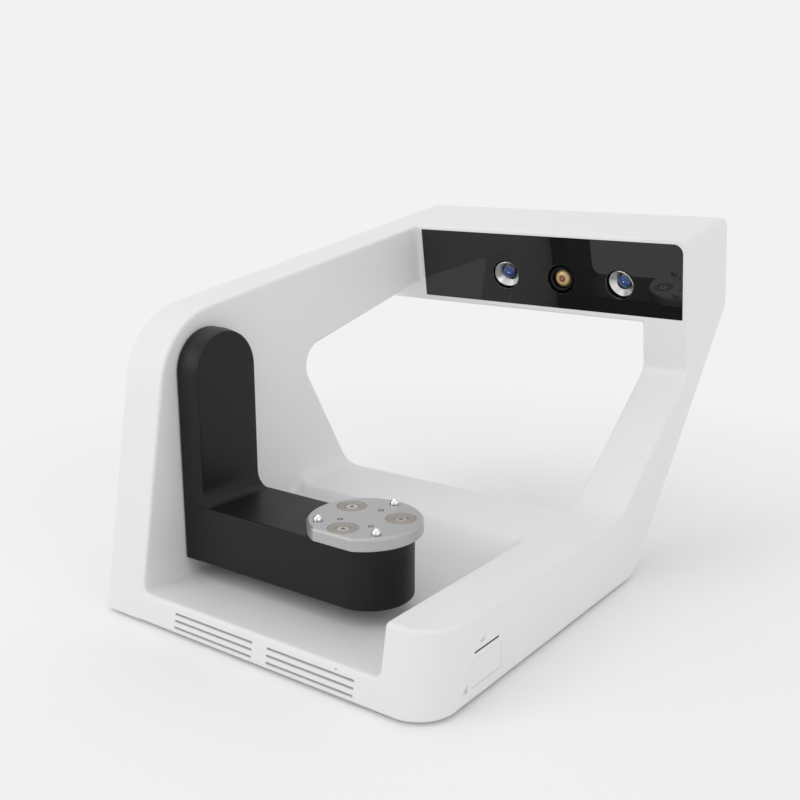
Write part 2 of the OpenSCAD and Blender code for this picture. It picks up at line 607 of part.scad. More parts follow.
module swing_arm() color("black") placed() difference() {
    union() {
        difference() {
            arm_form();
            arm_cavity();
        }
        at_arm_posts() rod_z(arm_floor_t, leg_t - 1, arm_post_d);
        at_turn() rod_z(spindle_boss_low_h, leg_top_h - 1, spindle_boss_d);
    }
    at_arm_posts() upwards() screw_hole(arm_screw_l);
    at_turn() rod_z(0, leg_top_h - arm_skin, turn_bearing_d);
    at_turn() rod_z(0, far, spindle_hole_d);
    at_pivot() rod_x(0, arm_x + arm_skin + 1, shaft_d);
    at_shaft_screws() screw_hole(shaft_screw_l);
}
module arm_bottom_cover() color("black") placed() difference() {
    along_z(leg_low_h, leg_low_h + arm_floor_t) leg_plan(arm_w / 2 - arm_skin - fit, arm_x + arm_skin + fit);
    at_arm_posts() upwards() flat_hole(arm_screw_l);
}
module arm_cover_screws() color("gray") placed() at_arm_posts() upwards() flat_screw(arm_screw_l);

// ---- turntable drive in the arm ----
turn_bearing_d = 22;
turn_bearing_t = 7;
spindle_d = 8;
spindle_hole_d = 14;
spindle_boss_d = 30;
spindle_boss_low_h = leg_top_h - arm_skin - 2 * turn_bearing_t;
turn_pulley_d = 32;
turn_pinion_d = 14;
turn_pulley_t = 6;
turn_pulley_low_h = spindle_boss_low_h - 1.5 - turn_pulley_t;
turn_motor_back = 62;            // from the turntable's axis to its motor's
turn_motor_x = turn_x - turn_motor_back;
turn_motor_w = 35;
turn_motor_l = 14;
spindle_flange_d = 40;
spindle_flange_t = 3.8;
spindle_flange_gap = 0.4;
spindle_flange_low_h = leg_top_h + spindle_flange_gap;
disc_sink = spindle_flange_low_h + spindle_flange_t - disc_low_h;      // the disc lies over the flange
module at_turn() translate([turn_x, pivot_y, 0]) children();
module at_turn_motor() translate([turn_motor_x, pivot_y, 0]) children();
module turntable_motor() color("dimgray") placed() at_turn_motor() difference() {
    translate([-turn_motor_w / 2, -turn_motor_w / 2, leg_top_h - arm_skin - turn_motor_l])
        cube([turn_motor_w, turn_motor_w, turn_motor_l]);
    rod_z(0, leg_top_h - arm_skin - turn_motor_l + 8, motor_shaft_d + 2 * run_fit);
}
module turntable_pinion() color("silver") placed() at_turn_motor() union() {
    rod_z(turn_pulley_low_h, turn_pulley_low_h + turn_pulley_t, turn_pinion_d);
    rod_z(turn_pulley_low_h + 1, leg_top_h - arm_skin - turn_motor_l + 7, motor_shaft_d);
}
module turntable_bearings() color("gainsboro") placed() at_turn() for (k = [0, 1]) difference() {
    rod_z(spindle_boss_low_h + k * turn_bearing_t, spindle_boss_low_h + (k + 1) * turn_bearing_t, turn_bearing_d);
    rod_z(0, far, spindle_d);
}
module turntable_belt() color("black") placed()
    along_z(turn_pulley_low_h + belt_edge, turn_pulley_low_h + turn_pulley_t - belt_edge)
        belt([turn_x, pivot_y], turn_pulley_d / 2, [turn_motor_x, pivot_y], turn_pinion_d / 2);
module turntable_pulley() color("silver") placed() at_turn() difference() {
    rod_z(turn_pulley_low_h, turn_pulley_low_h + turn_pulley_t, turn_pulley_d);
    rod_z(0, far, spindle_d - 2 * run_fit);
}

// ---- turntable ----
disc_screw_l = 7.5;
disc_screw_d = 2;
magnet_t = 5;
magnet_screw_l = 1.6;
magnet_bore_d = 9;
stud_d = 3;
stud_depth = 5;
ball_rise = 1;                   // height of a ball's centre over the disc
ball_recess = 0.6;               // depth of the round recess each ball stands in
disc_top_bevel = 1.2;
disc_low_bevel = 0.4;
magnet_angles = [30, 150, 270];
ball_angles = [88, 226, 320];
module round_at(r, angles) at_turn() for (a = angles) translate([r * cos(a), r * sin(a), disc_top_h]) children();
module turntable_spindle() color("silver") placed() difference() {
    at_turn() union() {
        rod_z(turn_pulley_low_h, spindle_flange_low_h + 1, spindle_d - 2 * run_fit);
        rod_z(spindle_flange_low_h, spindle_flange_low_h + spindle_flange_t, spindle_flange_d);
    }
    round_at(screw_ring_r, ball_angles) translate([0, 0, -disc_screw_d / 2]) screw_hole(disc_screw_l, disc_screw_d);
}
module turntable_disc() color("darkgray") placed() difference() {
    at_turn() rotate_extrude() polygon([[0, disc_low_h], [disc_d / 2 - disc_low_bevel, disc_low_h],
        [disc_d / 2, disc_low_h + disc_low_bevel], [disc_d / 2, disc_top_h - disc_top_bevel],
        [disc_d / 2 - disc_top_bevel, disc_top_h], [0, disc_top_h]]);
    at_turn() translate([-disc_d / 2, -disc_flat - disc_d, 0]) cube([disc_d, disc_d, far]);
    at_turn() rod_z(0, disc_low_h + disc_sink, spindle_flange_d + fit);
    round_at(magnet_ring_r, magnet_angles) rod_z(-magnet_t, 1, magnet_d);
    round_at(ball_ring_r, ball_angles) rod_z(-stud_depth, 1, stud_d);
    round_at(ball_ring_r, ball_angles) translate([0, 0, ball_rise]) sphere(d = ball_d);
    round_at(ball_ring_r, ball_angles) rod_z(-ball_recess, 1, ball_d + 2 * fit);
    round_at(screw_ring_r, ball_angles) {
        rod_z(-far, 1, disc_screw_d + 2 * screw_room);
        rod_z(-2 * disc_screw_d / 3 - 0.4, 1, screw_head_d * disc_screw_d / screw_d + 2 * screw_room);
    }
}
// Ring magnets, each with a sunk screw in its middle
module disc_magnets() color("rosybrown") placed() round_at(magnet_ring_r, magnet_angles) difference() {
    rod_z(-magnet_t, 0, magnet_d);
    rod_z(-far, 1, magnet_bore_d);
}
module magnet_screws() color("gainsboro") placed() round_at(magnet_ring_r, magnet_angles) difference() {
    rod_z(-magnet_t, -0.3, magnet_bore_d);
    rod_z(-magnet_screw_l, 1, hex_d);
}
module ball_studs() color("gainsboro") placed() round_at(ball_ring_r, ball_angles) union() {
    rod_z(-stud_depth, 0, stud_d);
    translate([0, 0, ball_rise]) sphere(d = ball_d);
}
module disc_screws() color("dimgray") placed() round_at(screw_ring_r, ball_angles)
    translate([0, 0, -2 * disc_screw_d / 3 - 0.4]) pan_screw(disc_screw_l - 1, disc_screw_d);

// ---- board, loom and rear connectors ----
board_x0 = 62;
board_x1 = 212;
board_y0 = 130;
board_y1 = 212;
board_h = 8;
board_t = 1.6;
board_screw_l = 4;
standoff_d = 6;
chip_at = [[85, 150, 14, 3], [120, 170, 22, 4], [165, 155, 14, 3], [100, 196, 10, 9], [140, 198, 12, 9]];      // x, y, side, height
module at_standoffs() for (x = [board_x0 + 5, board_x1 - 5], y = [board_y0 + 5, board_y1 - 5]) translate([x, y, 0]) children();
module board_standoffs() color("silver") placed() at_standoffs() difference() {
    rod_z(plate_t, board_h, standoff_d);
    translate([0, 0, board_h + board_t]) screw_hole(board_screw_l + board_t);
}
module main_board() color("darkgreen") placed() {
    difference() {
        translate([board_x0, board_y0, board_h]) cube([board_x1 - board_x0, board_y1 - board_y0, board_t]);
        at_standoffs() translate([0, 0, board_h + board_t]) screw_hole(board_screw_l + board_t);
    }
    for (c = chip_at) translate([c[0] - c[2] / 2, c[1] - c[2] / 2, board_h + board_t / 2])
        cube([c[2], c[2], board_t / 2 + c[3]]);
}
module board_screws() color("silver") placed() at_standoffs() translate([0, 0, board_h + board_t])
    pan_screw(board_screw_l + board_t - 0.5);
// Flat ribbon cable: from the board to the column, up the column, and across to the projector
ribbon_w = 12;
ribbon_t = 1.2;
ribbon_y = 200;                  // rear edge of its first length
ribbon_depth = 54;               // depth of its last length in the head
ribbon_x = side_x(300) - (rail_w + ribbon_w) / 2;
function head_point(y, z) = [head_y, lens_h] + y * heading(head_tilt) + z * to_left(head_tilt);
ribbon_route = [[ribbon_y - ribbon_w, 12], [232, 16], [262, 42], [column_y + 87, 100], [column_y + 139.7, 150],
    head_point(ribbon_depth, -14), head_point(ribbon_depth, 10)];
module ribbon_length(p, q) translate(p) rotate(atan2(q[1] - p[1], q[0] - p[0]))
    translate([-ribbon_t / 2, -ribbon_t / 2]) square([norm(q - p) + ribbon_t, ribbon_t]);
module wiring_loom() color("dimgray") placed() union() {
    along_x(ribbon_x, ribbon_x + ribbon_w) for (k = [0:len(ribbon_route) - 2])
        ribbon_length(ribbon_route[k], ribbon_route[k + 1]);
    translate([board_x1 - 8, ribbon_y - ribbon_w, 12 - ribbon_t / 2])
        cube([ribbon_x + ribbon_w - board_x1 + 8, ribbon_w, ribbon_t]);
    translate([board_x1 - 8, ribbon_y - ribbon_w, board_h + board_t]) cube([6, ribbon_w, 4]);
    in_head() translate([optics_x + projector_w / 2, ribbon_depth - ribbon_t / 2, -2])
        cube([ribbon_x + ribbon_w - optics_x - projector_w / 2, ribbon_t, ribbon_w]);
}
connector_w = 84;
connector_h = 30;
connector_low = 14;
connector_t = 2;
connector_ledge = 2.5;
inlet_x = -30;
socket_x = -5;
rocker_x = 25;
connector_mid = connector_low + connector_h / 2;
inlet_w = 12;
inlet_l = 13;
inlet_bore_d = 6.4;
socket_w = 13;
socket_h = 5.4;
socket_l = 12;
socket_wall = 0.6;
rocker_w = 13;
rocker_l = 19;
rocker_frame_w = 17;
rocker_frame_l = 24;
rocker_gap = 0.9;
module connector_prism(d, y0, y1) translate([-connector_w / 2 + d, y0, connector_low + d])
    cube([connector_w - 2 * d, y1 - y0, connector_h - 2 * d]);
module rear_connector_plate() color("dimgray") placed() on_rear(rear_face_x) difference() {
    connector_prism(fit / 2, 0, connector_t);
    translate([inlet_x, 0, connector_mid]) rod_y(-1, far, inlet_bore_d + 2);
    translate([socket_x - socket_w / 2, -1, connector_mid - socket_h / 2]) cube([socket_w, far, socket_h]);
    translate([rocker_x - rocker_frame_w / 2 + 1, -1, connector_mid - rocker_frame_l / 2 + 1])
        cube([rocker_frame_w - 2, far, rocker_frame_l - 2]);
}
module power_inlet() color("black") placed() on_rear(rear_face_x) translate([inlet_x, 0, connector_mid]) {
    difference() {
        union() {
            translate([-inlet_w / 2, connector_t, -inlet_w / 2]) cube([inlet_w, inlet_l, inlet_w]);
            rod_y(0, connector_t + 1, inlet_bore_d + 2);
        }
        rod_y(-1, inlet_l - 2, inlet_bore_d);
    }
    rod_y(1, inlet_l - 1, 2);
}
module data_socket() color("silver") placed() on_rear(rear_face_x) translate([socket_x, 0, connector_mid]) {
    difference() {
        translate([-socket_w / 2, -0.4, -socket_h / 2]) cube([socket_w, socket_l + 0.4, socket_h]);
        translate([-socket_w / 2 + socket_wall, -1, -socket_h / 2 + socket_wall])
            cube([socket_w - 2 * socket_wall, socket_l, socket_h - 2 * socket_wall]);
    }
    translate([-socket_w / 2 + 1.5, 2, -0.4]) cube([socket_w - 3, socket_l - 2.5, 1.2]);
}
module rocker_frame() color("black") placed() on_rear(rear_face_x) translate([rocker_x, 0, connector_mid]) difference() {
    union() {
        translate([-rocker_frame_w / 2, -1, -rocker_frame_l / 2]) cube([rocker_frame_w, 1, rocker_frame_l]);
        translate([-rocker_frame_w / 2 + 1, -1, -rocker_frame_l / 2 + 1])
            cube([rocker_frame_w - 2, 15, rocker_frame_l - 2]);
    }
    translate([-rocker_w / 2 - 0.3, -2, -rocker_l / 2 - rocker_gap])
        cube([rocker_w + 0.6, 14, rocker_l + 2 * rocker_gap]);
}
module rocker() color("black") placed() on_rear(rear_face_x) translate([rocker_x, 0, connector_mid]) union() {
    rotate([90, 0, 90]) translate([0, 0, -rocker_w / 2]) linear_extrude(rocker_w)
        polygon([[-2.4, -1], [-2.4, 1], [-0.6, rocker_l / 2], [4, rocker_l / 2], [9, 3], [9, -3],
            [4, -rocker_l / 2], [-0.6, -rocker_l / 2]]);
}

// ---- fan behind the rear air slots ----
fan_x = 185;
fan_w = 40;
fan_t = 10;
fan_low = 16;
fan_bore_d = 38;
fan_blade_d = 36.4;
fan_hub_d = 16;
fan_arm_w = 3;
fan_back = 1.5;                  // thickness of the spider that holds the hub
blade_count = 7;
rear_slots = 5;
rear_slot_pitch = 6.6;
module at_fan() on_rear(fan_x) translate([0, skin, fan_low + fan_w / 2]) children();
module fan_frame() color("black") placed() at_fan() union() {
    difference() {
        translate([-fan_w / 2, 0, -fan_w / 2]) cube([fan_w, fan_t, fan_w]);
        rod_y(-1, far, fan_bore_d);
    }
    translate([0, 0, 0]) rod_y(fan_t - fan_back, fan_t, fan_hub_d);
    for (a = [30:120:270]) rotate([0, a, 0]) translate([0, fan_t - fan_back, -fan_arm_w / 2])
        cube([fan_w / 2 - 0.5, fan_back, fan_arm_w]);
}
module fan_rotor() color("dimgray") placed() at_fan() intersection() {
    union() {
        rod_y(1, fan_t - fan_back - 0.5, fan_hub_d);
        for (k = [0:blade_count - 1]) rotate([0, 360 * k / blade_count, 0]) translate([fan_hub_d / 2 - 1, 4.5, 0])
            rotate([35, 0, 0]) translate([0, -3.2, -0.5]) cube([fan_w / 2, 6.4, 1]);
    }
    rod_y(1, fan_t - fan_back - 0.5, fan_blade_d);
}

// ---- power button and status strip on the right side ----
button_y = 57.5;
button_z = 17;
button_gap = 0.4;
button_flange = 1.6;
button_flange_t = 1.2;
button_stem_d = 5;
button_stem_l = 9;
switch_gap = 0.3;
switch_w = 7;
switch_t = 4;
switch_board_t = 1.6;
switch_x = -button_stem_l - button_travel - switch_gap;
board_post_y = 22;
strip_y = 57.6;
strip_z = 30;
strip_h = 1.2;
strip_lip = 1;
module at_button() on_side(button_y, button_z) children();
module button_face(d, x0, x1) along_x(x0, x1) polygon(outline(
    [[[0, -button_h / 2], 0], [[button_l / 2, 0], 90], [[0, button_h / 2], 180], [[-button_l / 2, 0], 270]],
    [2, 2, 2, 2], d));
module power_button() color("white") placed() at_button() union() {
    button_face(0, -skin - 0.3 - button_flange_t, 0);
    button_face(-button_flange, -skin - 0.3 - button_flange_t, -skin - 0.3);
    rod_x(-button_stem_l, -skin, button_stem_d);
}
module button_switch() color("darkgreen") placed() at_button() {
    translate([switch_x - switch_t, -switch_w / 2, -switch_w / 2]) cube([switch_t, switch_w, switch_w]);
    translate([switch_x - switch_t - switch_board_t, -board_post_y - 3, -6])
        cube([switch_board_t, 2 * board_post_y + 6, 12]);
}
module status_strip() color("black") placed() on_side(strip_y, strip_z) union() {
    translate([-skin - 0.5, -strip_l / 2, -strip_h / 2]) cube([skin + 0.5, strip_l, strip_h]);
    translate([-skin - strip_lip, -strip_l / 2 - 1, -strip_h / 2 - 1]) cube([strip_lip, strip_l + 2, strip_h + 2]);
}

// ---- main housing ----
front_slot_rows = 3;
front_slot_pitch = 4.5;
front_slot_top_h = 14;
front_slot_x = [67.5, 148];
shaft_clear_d = 16;
module front_slots() for (x = front_slot_x, k = [0:front_slot_rows - 1])
    translate([x, -1, front_slot_top_h - slot_h - k * front_slot_pitch]) cube([slot_l, skin + 6, slot_h]);
// The hollow inside, closed towards the recess and in front of and behind the optics
module hollow() difference() {
    whole_form(skin);
    recess(skin);
    in_head() translate([wall_w + 1, -far, -head_drop - 4]) cube([far, far + face_w, far]);
    in_head() translate([-1, head_depth - face_w, -far]) cube([far, far, 2 * far]);
}
module main_housing() color("white") placed() difference() {
    union() {
        difference() {
            whole_form();
            recess();
            hollow();
        }
        at_cover_posts() rod_x(skin, wall_inner_x + 1, post_d);
        at_motor_posts() rod_x(motor_plate_x + motor_plate_t, wall_inner_x + 1, post_d - 1);
        for (p = base_posts) translate([p[0], p[1], 0]) rod_z(plate_t, p[2], post_d);
        in_head() for (s = [-1, 1]) translate([optics_x + s * pillar_x - pillar_w / 2, bracket_y - pillar_w, pillar_low])
            cube([pillar_w, pillar_w, pillar_top - pillar_low]);
        at_button() for (s = [-1, 1]) translate([0, s * board_post_y, 0])
            rod_x(switch_x - switch_t, -skin + 1, 5);
    }
    along_x(-1, skin) cover_plan(0);
    along_z(-1, skin) plate_plan(0);
    at_cover_posts() to_plus_x() screw_hole(cover_screw_l + 1);
    at_motor_posts() translate([motor_plate_x, 0, 0]) to_plus_x() screw_hole(bracket_screw_l + 1);
    at_base_posts() upwards() screw_hole(base_screw_l + 1);
    at_optics_screws() screw_hole(optics_screw_l + 1);
    in_head() window_prism(0, -1, window_t);
    in_head() window_prism(window_ledge, -1, face_w + 1);
    in_head() rear_panel(0, head_depth - skin + 0.3, head_depth + 1);
    in_head() rear_panel(rear_ledge, head_depth - face_w - 1, head_depth + 1);
    at_rear_screws() screw_hole(rear_screw_l + 1);
    at_pivot() rod_x(wall_inner_x - 1, wall_w + 1, shaft_clear_d);
    front_slots();
    at_button() button_face(-button_gap, -skin - 1, 1);
    on_side(strip_y, strip_z) translate([-skin - 1, -strip_l / 2 - 0.05, -strip_h / 2 - 0.05])
        cube([skin + 2, strip_l + 0.1, strip_h + 0.1]);
    on_rear(rear_face_x) connector_prism(0, -1, connector_t);
    on_rear(rear_face_x) connector_prism(connector_ledge, -1, skin + 1);
    on_rear(fan_x) for (k = [0:rear_slots - 1]) translate([(k - (rear_slots - 1) / 2) * rear_slot_pitch - 1.5,
        -1, fan_low + 5]) cube([3, skin + 2, fan_w - 10]);
}

main_housing();
left_side_cover();
side_cover_screws();
head_rear_cover();
rear_cover_screws();
base_plate();
base_screws();
rubber_feet();
camera_window();
optics_bracket();
optics_screws();
camera_left_body();
camera_right_body();
camera_left_ring();
camera_right_ring();
camera_left_glass();
camera_right_glass();
projector_body();
projector_barrel();
projector_glass();
bearing_housing();
tilt_bearings();
motor_bracket();
tilt_motor();
bracket_screws();
tilt_belt();
tilt_pinion();
tilt_shaft();
tilt_pulley();
shaft_screws();
swing_arm();
arm_bottom_cover();
arm_cover_screws();
turntable_motor();
turntable_bearings();
turntable_belt();
turntable_pinion();
turntable_spindle();
turntable_pulley();
turntable_disc();
disc_magnets();
magnet_screws();
ball_studs();
disc_screws();
main_board();
board_standoffs();
board_screws();
wiring_loom();
rear_connector_plate();
power_inlet();
data_socket();
rocker_frame();
rocker();
fan_frame();
fan_rotor();
power_button();
button_switch();
status_strip();
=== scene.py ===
# Desktop 3D scanner: a moulded white housing, a black swing arm with a metal turntable, and an optics head.
# Row frame, metres. Sizes in the sections are millimetres in the housing's own coordinates: X from its left
# face, Y from its front bottom edge, Z from its underside.
import math
from functools import reduce
import bpy
import bmesh
import numpy as np
import openvdb
from mathutils import Matrix, Vector


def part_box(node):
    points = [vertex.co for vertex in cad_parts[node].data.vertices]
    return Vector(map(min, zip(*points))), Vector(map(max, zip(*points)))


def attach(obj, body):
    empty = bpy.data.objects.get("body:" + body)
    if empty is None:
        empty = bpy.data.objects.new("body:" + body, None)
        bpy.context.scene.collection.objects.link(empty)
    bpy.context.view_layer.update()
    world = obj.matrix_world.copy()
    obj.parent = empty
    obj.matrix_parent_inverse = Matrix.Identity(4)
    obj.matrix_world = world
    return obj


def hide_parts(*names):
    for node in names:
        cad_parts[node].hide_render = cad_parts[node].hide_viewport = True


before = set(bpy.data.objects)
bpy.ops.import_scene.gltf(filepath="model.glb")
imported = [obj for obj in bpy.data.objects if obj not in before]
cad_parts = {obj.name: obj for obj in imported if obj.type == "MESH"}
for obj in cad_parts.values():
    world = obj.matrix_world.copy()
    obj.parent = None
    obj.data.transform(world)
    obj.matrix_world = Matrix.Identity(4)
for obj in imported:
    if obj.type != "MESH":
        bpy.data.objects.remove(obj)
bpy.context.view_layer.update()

# ---------------------------------------------------------------------------------------------------------
# Studio: the photograph's camera, a pale seamless floor and large soft lamps, as for a product picture of
# white plastic. Camera, glossy and transmitted rays see the pale backdrop; only the lamps and a dim sky
# light the object.
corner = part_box("main_housing")[0]


def at(x, y, z):
    """A point of the housing's own coordinates, in millimetres, as a point of the row frame in metres."""
    return Vector((corner.x + x / 1000, corner.y + y / 1000, corner.z + z / 1000))


def colour(code, alpha=1.0):
    """An sRGB hex colour as the linear colour that shaders take."""
    part = [int(code[i:i + 2], 16) / 255 for i in (1, 3, 5)]
    return tuple(c / 12.92 if c <= 0.04045 else ((c + 0.055) / 1.055) ** 2.4 for c in part) + (alpha,)


def add(tree, kind, settings=None, **links):
    """A node of that kind: settings are its properties or socket values, links name the sockets fed by another
    node's output."""
    node = tree.nodes.new(kind)
    for key, value in (settings or {}).items():
        if isinstance(key, str) and hasattr(node, key) and key not in node.inputs:
            setattr(node, key, value)
        else:
            node.inputs[key].default_value = value
    for key, source in links.items():
        socket = int(key[1:]) if key[0] == "_" else key.replace("_", " ")
        tree.links.new(source, node.inputs[socket])
    return node


photo_px, focal_px = 800, 1025.7
sensor_mm = 36
camera = bpy.data.objects.new("camera", bpy.data.cameras.new("camera"))
camera.data.sensor_width = sensor_mm
camera.data.lens = focal_px / photo_px * sensor_mm
yaw, pitch = math.radians(-35.489), math.radians(-14.353)
look = Vector((math.sin(yaw) * math.cos(pitch), math.cos(yaw) * math.cos(pitch), math.sin(pitch)))
camera.location = at(546.08, -415.05, 316.37)
camera.rotation_mode = "QUATERNION"
camera.rotation_quaternion = look.to_track_quat("-Z", "Y")
camera.data.clip_start, camera.data.clip_end = 0.01, 60
bpy.context.scene.collection.objects.link(camera)
bpy.context.scene.camera = camera
bpy.context.scene.view_settings.view_transform = "Standard"

pale = "#F2F2F2"
world = bpy.data.worlds.new("studio")
bpy.context.scene.world = world
world.use_nodes = True
sky = world.node_tree
sky.nodes.clear()
path = add(sky, "ShaderNodeLightPath")
direct = add(sky, "ShaderNodeMath", {"operation": "MAXIMUM"},
             _0=path.outputs["Is Camera Ray"], _1=path.outputs["Is Transmission Ray"])
seen = add(sky, "ShaderNodeMath", {"operation": "MAXIMUM"},
           _0=direct.outputs[0], _1=path.outputs["Is Glossy Ray"])
dim = add(sky, "ShaderNodeBackground", {"Color": colour("#FFFFFF"), "Strength": 0.66})
backdrop = add(sky, "ShaderNodeBackground", {"Color": colour(pale), "Strength": 1.0})
mix = add(sky, "ShaderNodeMixShader", None, Fac=seen.outputs[0], _1=dim.outputs[0], _2=backdrop.outputs[0])
add(sky, "ShaderNodeOutputWorld", None, Surface=mix.outputs[0])

floor_mesh = bpy.data.meshes.new("studio_floor")
floor_half = 8
floor_corners = [(x * floor_half, y * floor_half, 0) for x, y in ((-1, -1), (1, -1), (1, 1), (-1, 1))]
floor_mesh.from_pydata(floor_corners, [], [(0, 1, 2, 3)])
floor = bpy.data.objects.new("studio_floor", floor_mesh)
bpy.context.scene.collection.objects.link(floor)
paper = bpy.data.materials.new("seamless_paper")
paper.use_nodes = True
tree = paper.node_tree
tree.nodes.clear()
place = add(tree, "ShaderNodeTexCoord")
far = add(tree, "ShaderNodeVectorMath", {"operation": "LENGTH"}, _0=place.outputs["Object"])
fade = add(tree, "ShaderNodeMapRange", {"From Min": 0.22, "From Max": 0.6}, Value=far.outputs["Value"])
sheet = add(tree, "ShaderNodeBsdfDiffuse", {"Color": colour("#F8F8F8")})
glow = add(tree, "ShaderNodeEmission", {"Color": colour(pale), "Strength": 1.0})
blend = add(tree, "ShaderNodeMixShader", None, Fac=fade.outputs[0], _1=sheet.outputs[0], _2=glow.outputs[0])
add(tree, "ShaderNodeOutputMaterial", None, Surface=blend.outputs[0])
floor_mesh.materials.append(paper)

for name, place, aim, size, power in (
        ("lamp_top", (-0.25, 0.1, 1.5), (0, 0, 0), 1.6, 4.2),
        ("lamp_front_left", (-0.9, -1.5, 0.9), (0, 0, 0.1), 1.2, 7.4),
        ("lamp_right", (1.7, -0.6, 0.8), (0, 0, 0.1), 1.0, 4.6)):
    lamp = bpy.data.objects.new(name, bpy.data.lights.new(name, "AREA"))
    lamp.data.size, lamp.data.energy = size, power
    lamp.location = place
    lamp.rotation_mode = "QUATERNION"
    lamp.rotation_quaternion = (Vector(aim) - Vector(place)).to_track_quat("-Z", "Y")
    bpy.context.scene.collection.objects.link(lamp)

# ---------------------------------------------------------------------------------------------------------
# Main housing: one hollow injection-moulded shell, base tray, left wall, inclined column and head in one,
# satin white with softly rounded edges and a swept fillet from the tray into the wall. It is built as a
# distance field of its rounded forms, meshed, and then cut for the covers, window, slots and controls.
toe_a = 1.44
toe = math.tan(math.radians(toe_a))
lean = math.radians(10.5)
tilt = math.radians(9)
slope = math.radians(8.5)
wall_w, rail_w, base_h, shell = 34.8, 37.4, 52.5, 3.0
head_y, lens_h, head_depth, lens_x = 333.7, 205.3, 86.6, 171.7
pivot_y, pivot_h, recess_r = 72.0, 162.4, 143.0
floor_h = pivot_h - recess_r
front_w, notch_y, notch_a = 270, 228.2, 120.1
edge_r, sweep_r = 2.2, 11
head_from = (318, 160)  # no part of the head lies before this Y or below this Z


def along(degrees):
    """The unit vector in that direction."""
    return np.array((math.cos(math.radians(degrees)), math.sin(math.radians(degrees))))


def meet(l, m):
    """Where two lines cross; a line is (y, z, angle in degrees) with the material on its left."""
    d, e = along(l[2]), along(m[2])
    w = np.array(m[:2], float) - np.array(l[:2], float)
    return np.array(l[:2], float) + d * (w[0] * e[1] - w[1] * e[0]) / (d[0] * e[1] - d[1] * e[0])


def outline(lines, radii, inset=0.0, steps=20):
    """The closed outline of those lines with its corners rounded, moved into the material by inset."""
    moved = [(l[0] - inset * along(l[2])[1], l[1] + inset * along(l[2])[0], l[2]) for l in lines]
    points = []
    for i, l in enumerate(moved):
        m = moved[(i + 1) % len(moved)]
        turn = (m[2] - l[2] + 180) % 360 - 180
        r = radii[i] and max(0.0, radii[i] - math.copysign(inset, turn))
        if r <= 0:
            points.append(meet(l, m))
            continue
        side = math.copysign(1, turn)
        before = r * math.tan(math.radians(abs(turn)) / 2)
        centre = meet(l, m) + r * side * np.array((-along(l[2])[1], along(l[2])[0])) - before * along(l[2])
        for k in range(steps + 1):
            a = math.radians(l[2] + turn * k / steps)
            points.append(centre - r * side * np.array((-math.sin(a), math.cos(a))))
    return np.array(points)


def inside_of(outline_points, y, z):
    """Distance to a closed outline on a grid of y and z, negative inside."""
    y, z = np.meshgrid(y, z, indexing="ij")
    best = np.full(y.shape, 1e9, np.float32)
    odd = np.zeros(y.shape, bool)
    for a, b in zip(outline_points, np.roll(outline_points, -1, 0)):
        v = b - a
        if v @ v < 1e-12:
            continue
        t = np.clip(((y - a[0]) * v[0] + (z - a[1]) * v[1]) / (v @ v), 0, 1)
        best = np.minimum(best, (y - a[0] - t * v[0]) ** 2 + (z - a[1] - t * v[1]) ** 2)
        cross = (a[1] > z) != (b[1] > z)
        if cross.any():
            odd ^= cross & (y < a[0] + (z - a[1]) * v[0] / (v[1] if v[1] else 1))
    return (np.sqrt(best) * np.where(odd, -1, 1)).astype(np.float32)


def rounded(r, *fields):
    """The space inside all the fields, with its edges rounded to r."""
    out, most = 0, None
    for f in fields:
        out = out + np.maximum(f + r, 0) ** 2
        most = f if most is None else np.maximum(most, f)
    return np.sqrt(out) - r + np.minimum(most + r, 0)


under = (0, 0, 0)
rear_low = (notch_y, base_h, notch_a)
notch_top = (0, 116.1, 13.1)
wall_top = (0, 193.5, 188.5)
wall_front = (0, 0, 270 - 10.5)
head_front = (head_y, lens_h, 279)
head_back = (head_y + head_depth * math.cos(tilt), lens_h + head_depth * math.sin(tilt), 99)
head_mid = (head_y + head_depth / 2 * math.cos(tilt), lens_h + head_depth / 2 * math.sin(tilt), 99)
head_low = (head_y + (lens_h - 176.4) * math.tan(tilt), 176.4, 8.5)
column_back = (263.3, 0, 50.3)
column_front = (233.3, base_h, 180 + 37.9)
base_top = (0, base_h, 180)
wall_lines = [under, rear_low, notch_top, head_mid, wall_top, wall_front]
column_lines = [under, column_back, head_back, wall_top, head_front, column_front, base_top, (116, 0, 270)]


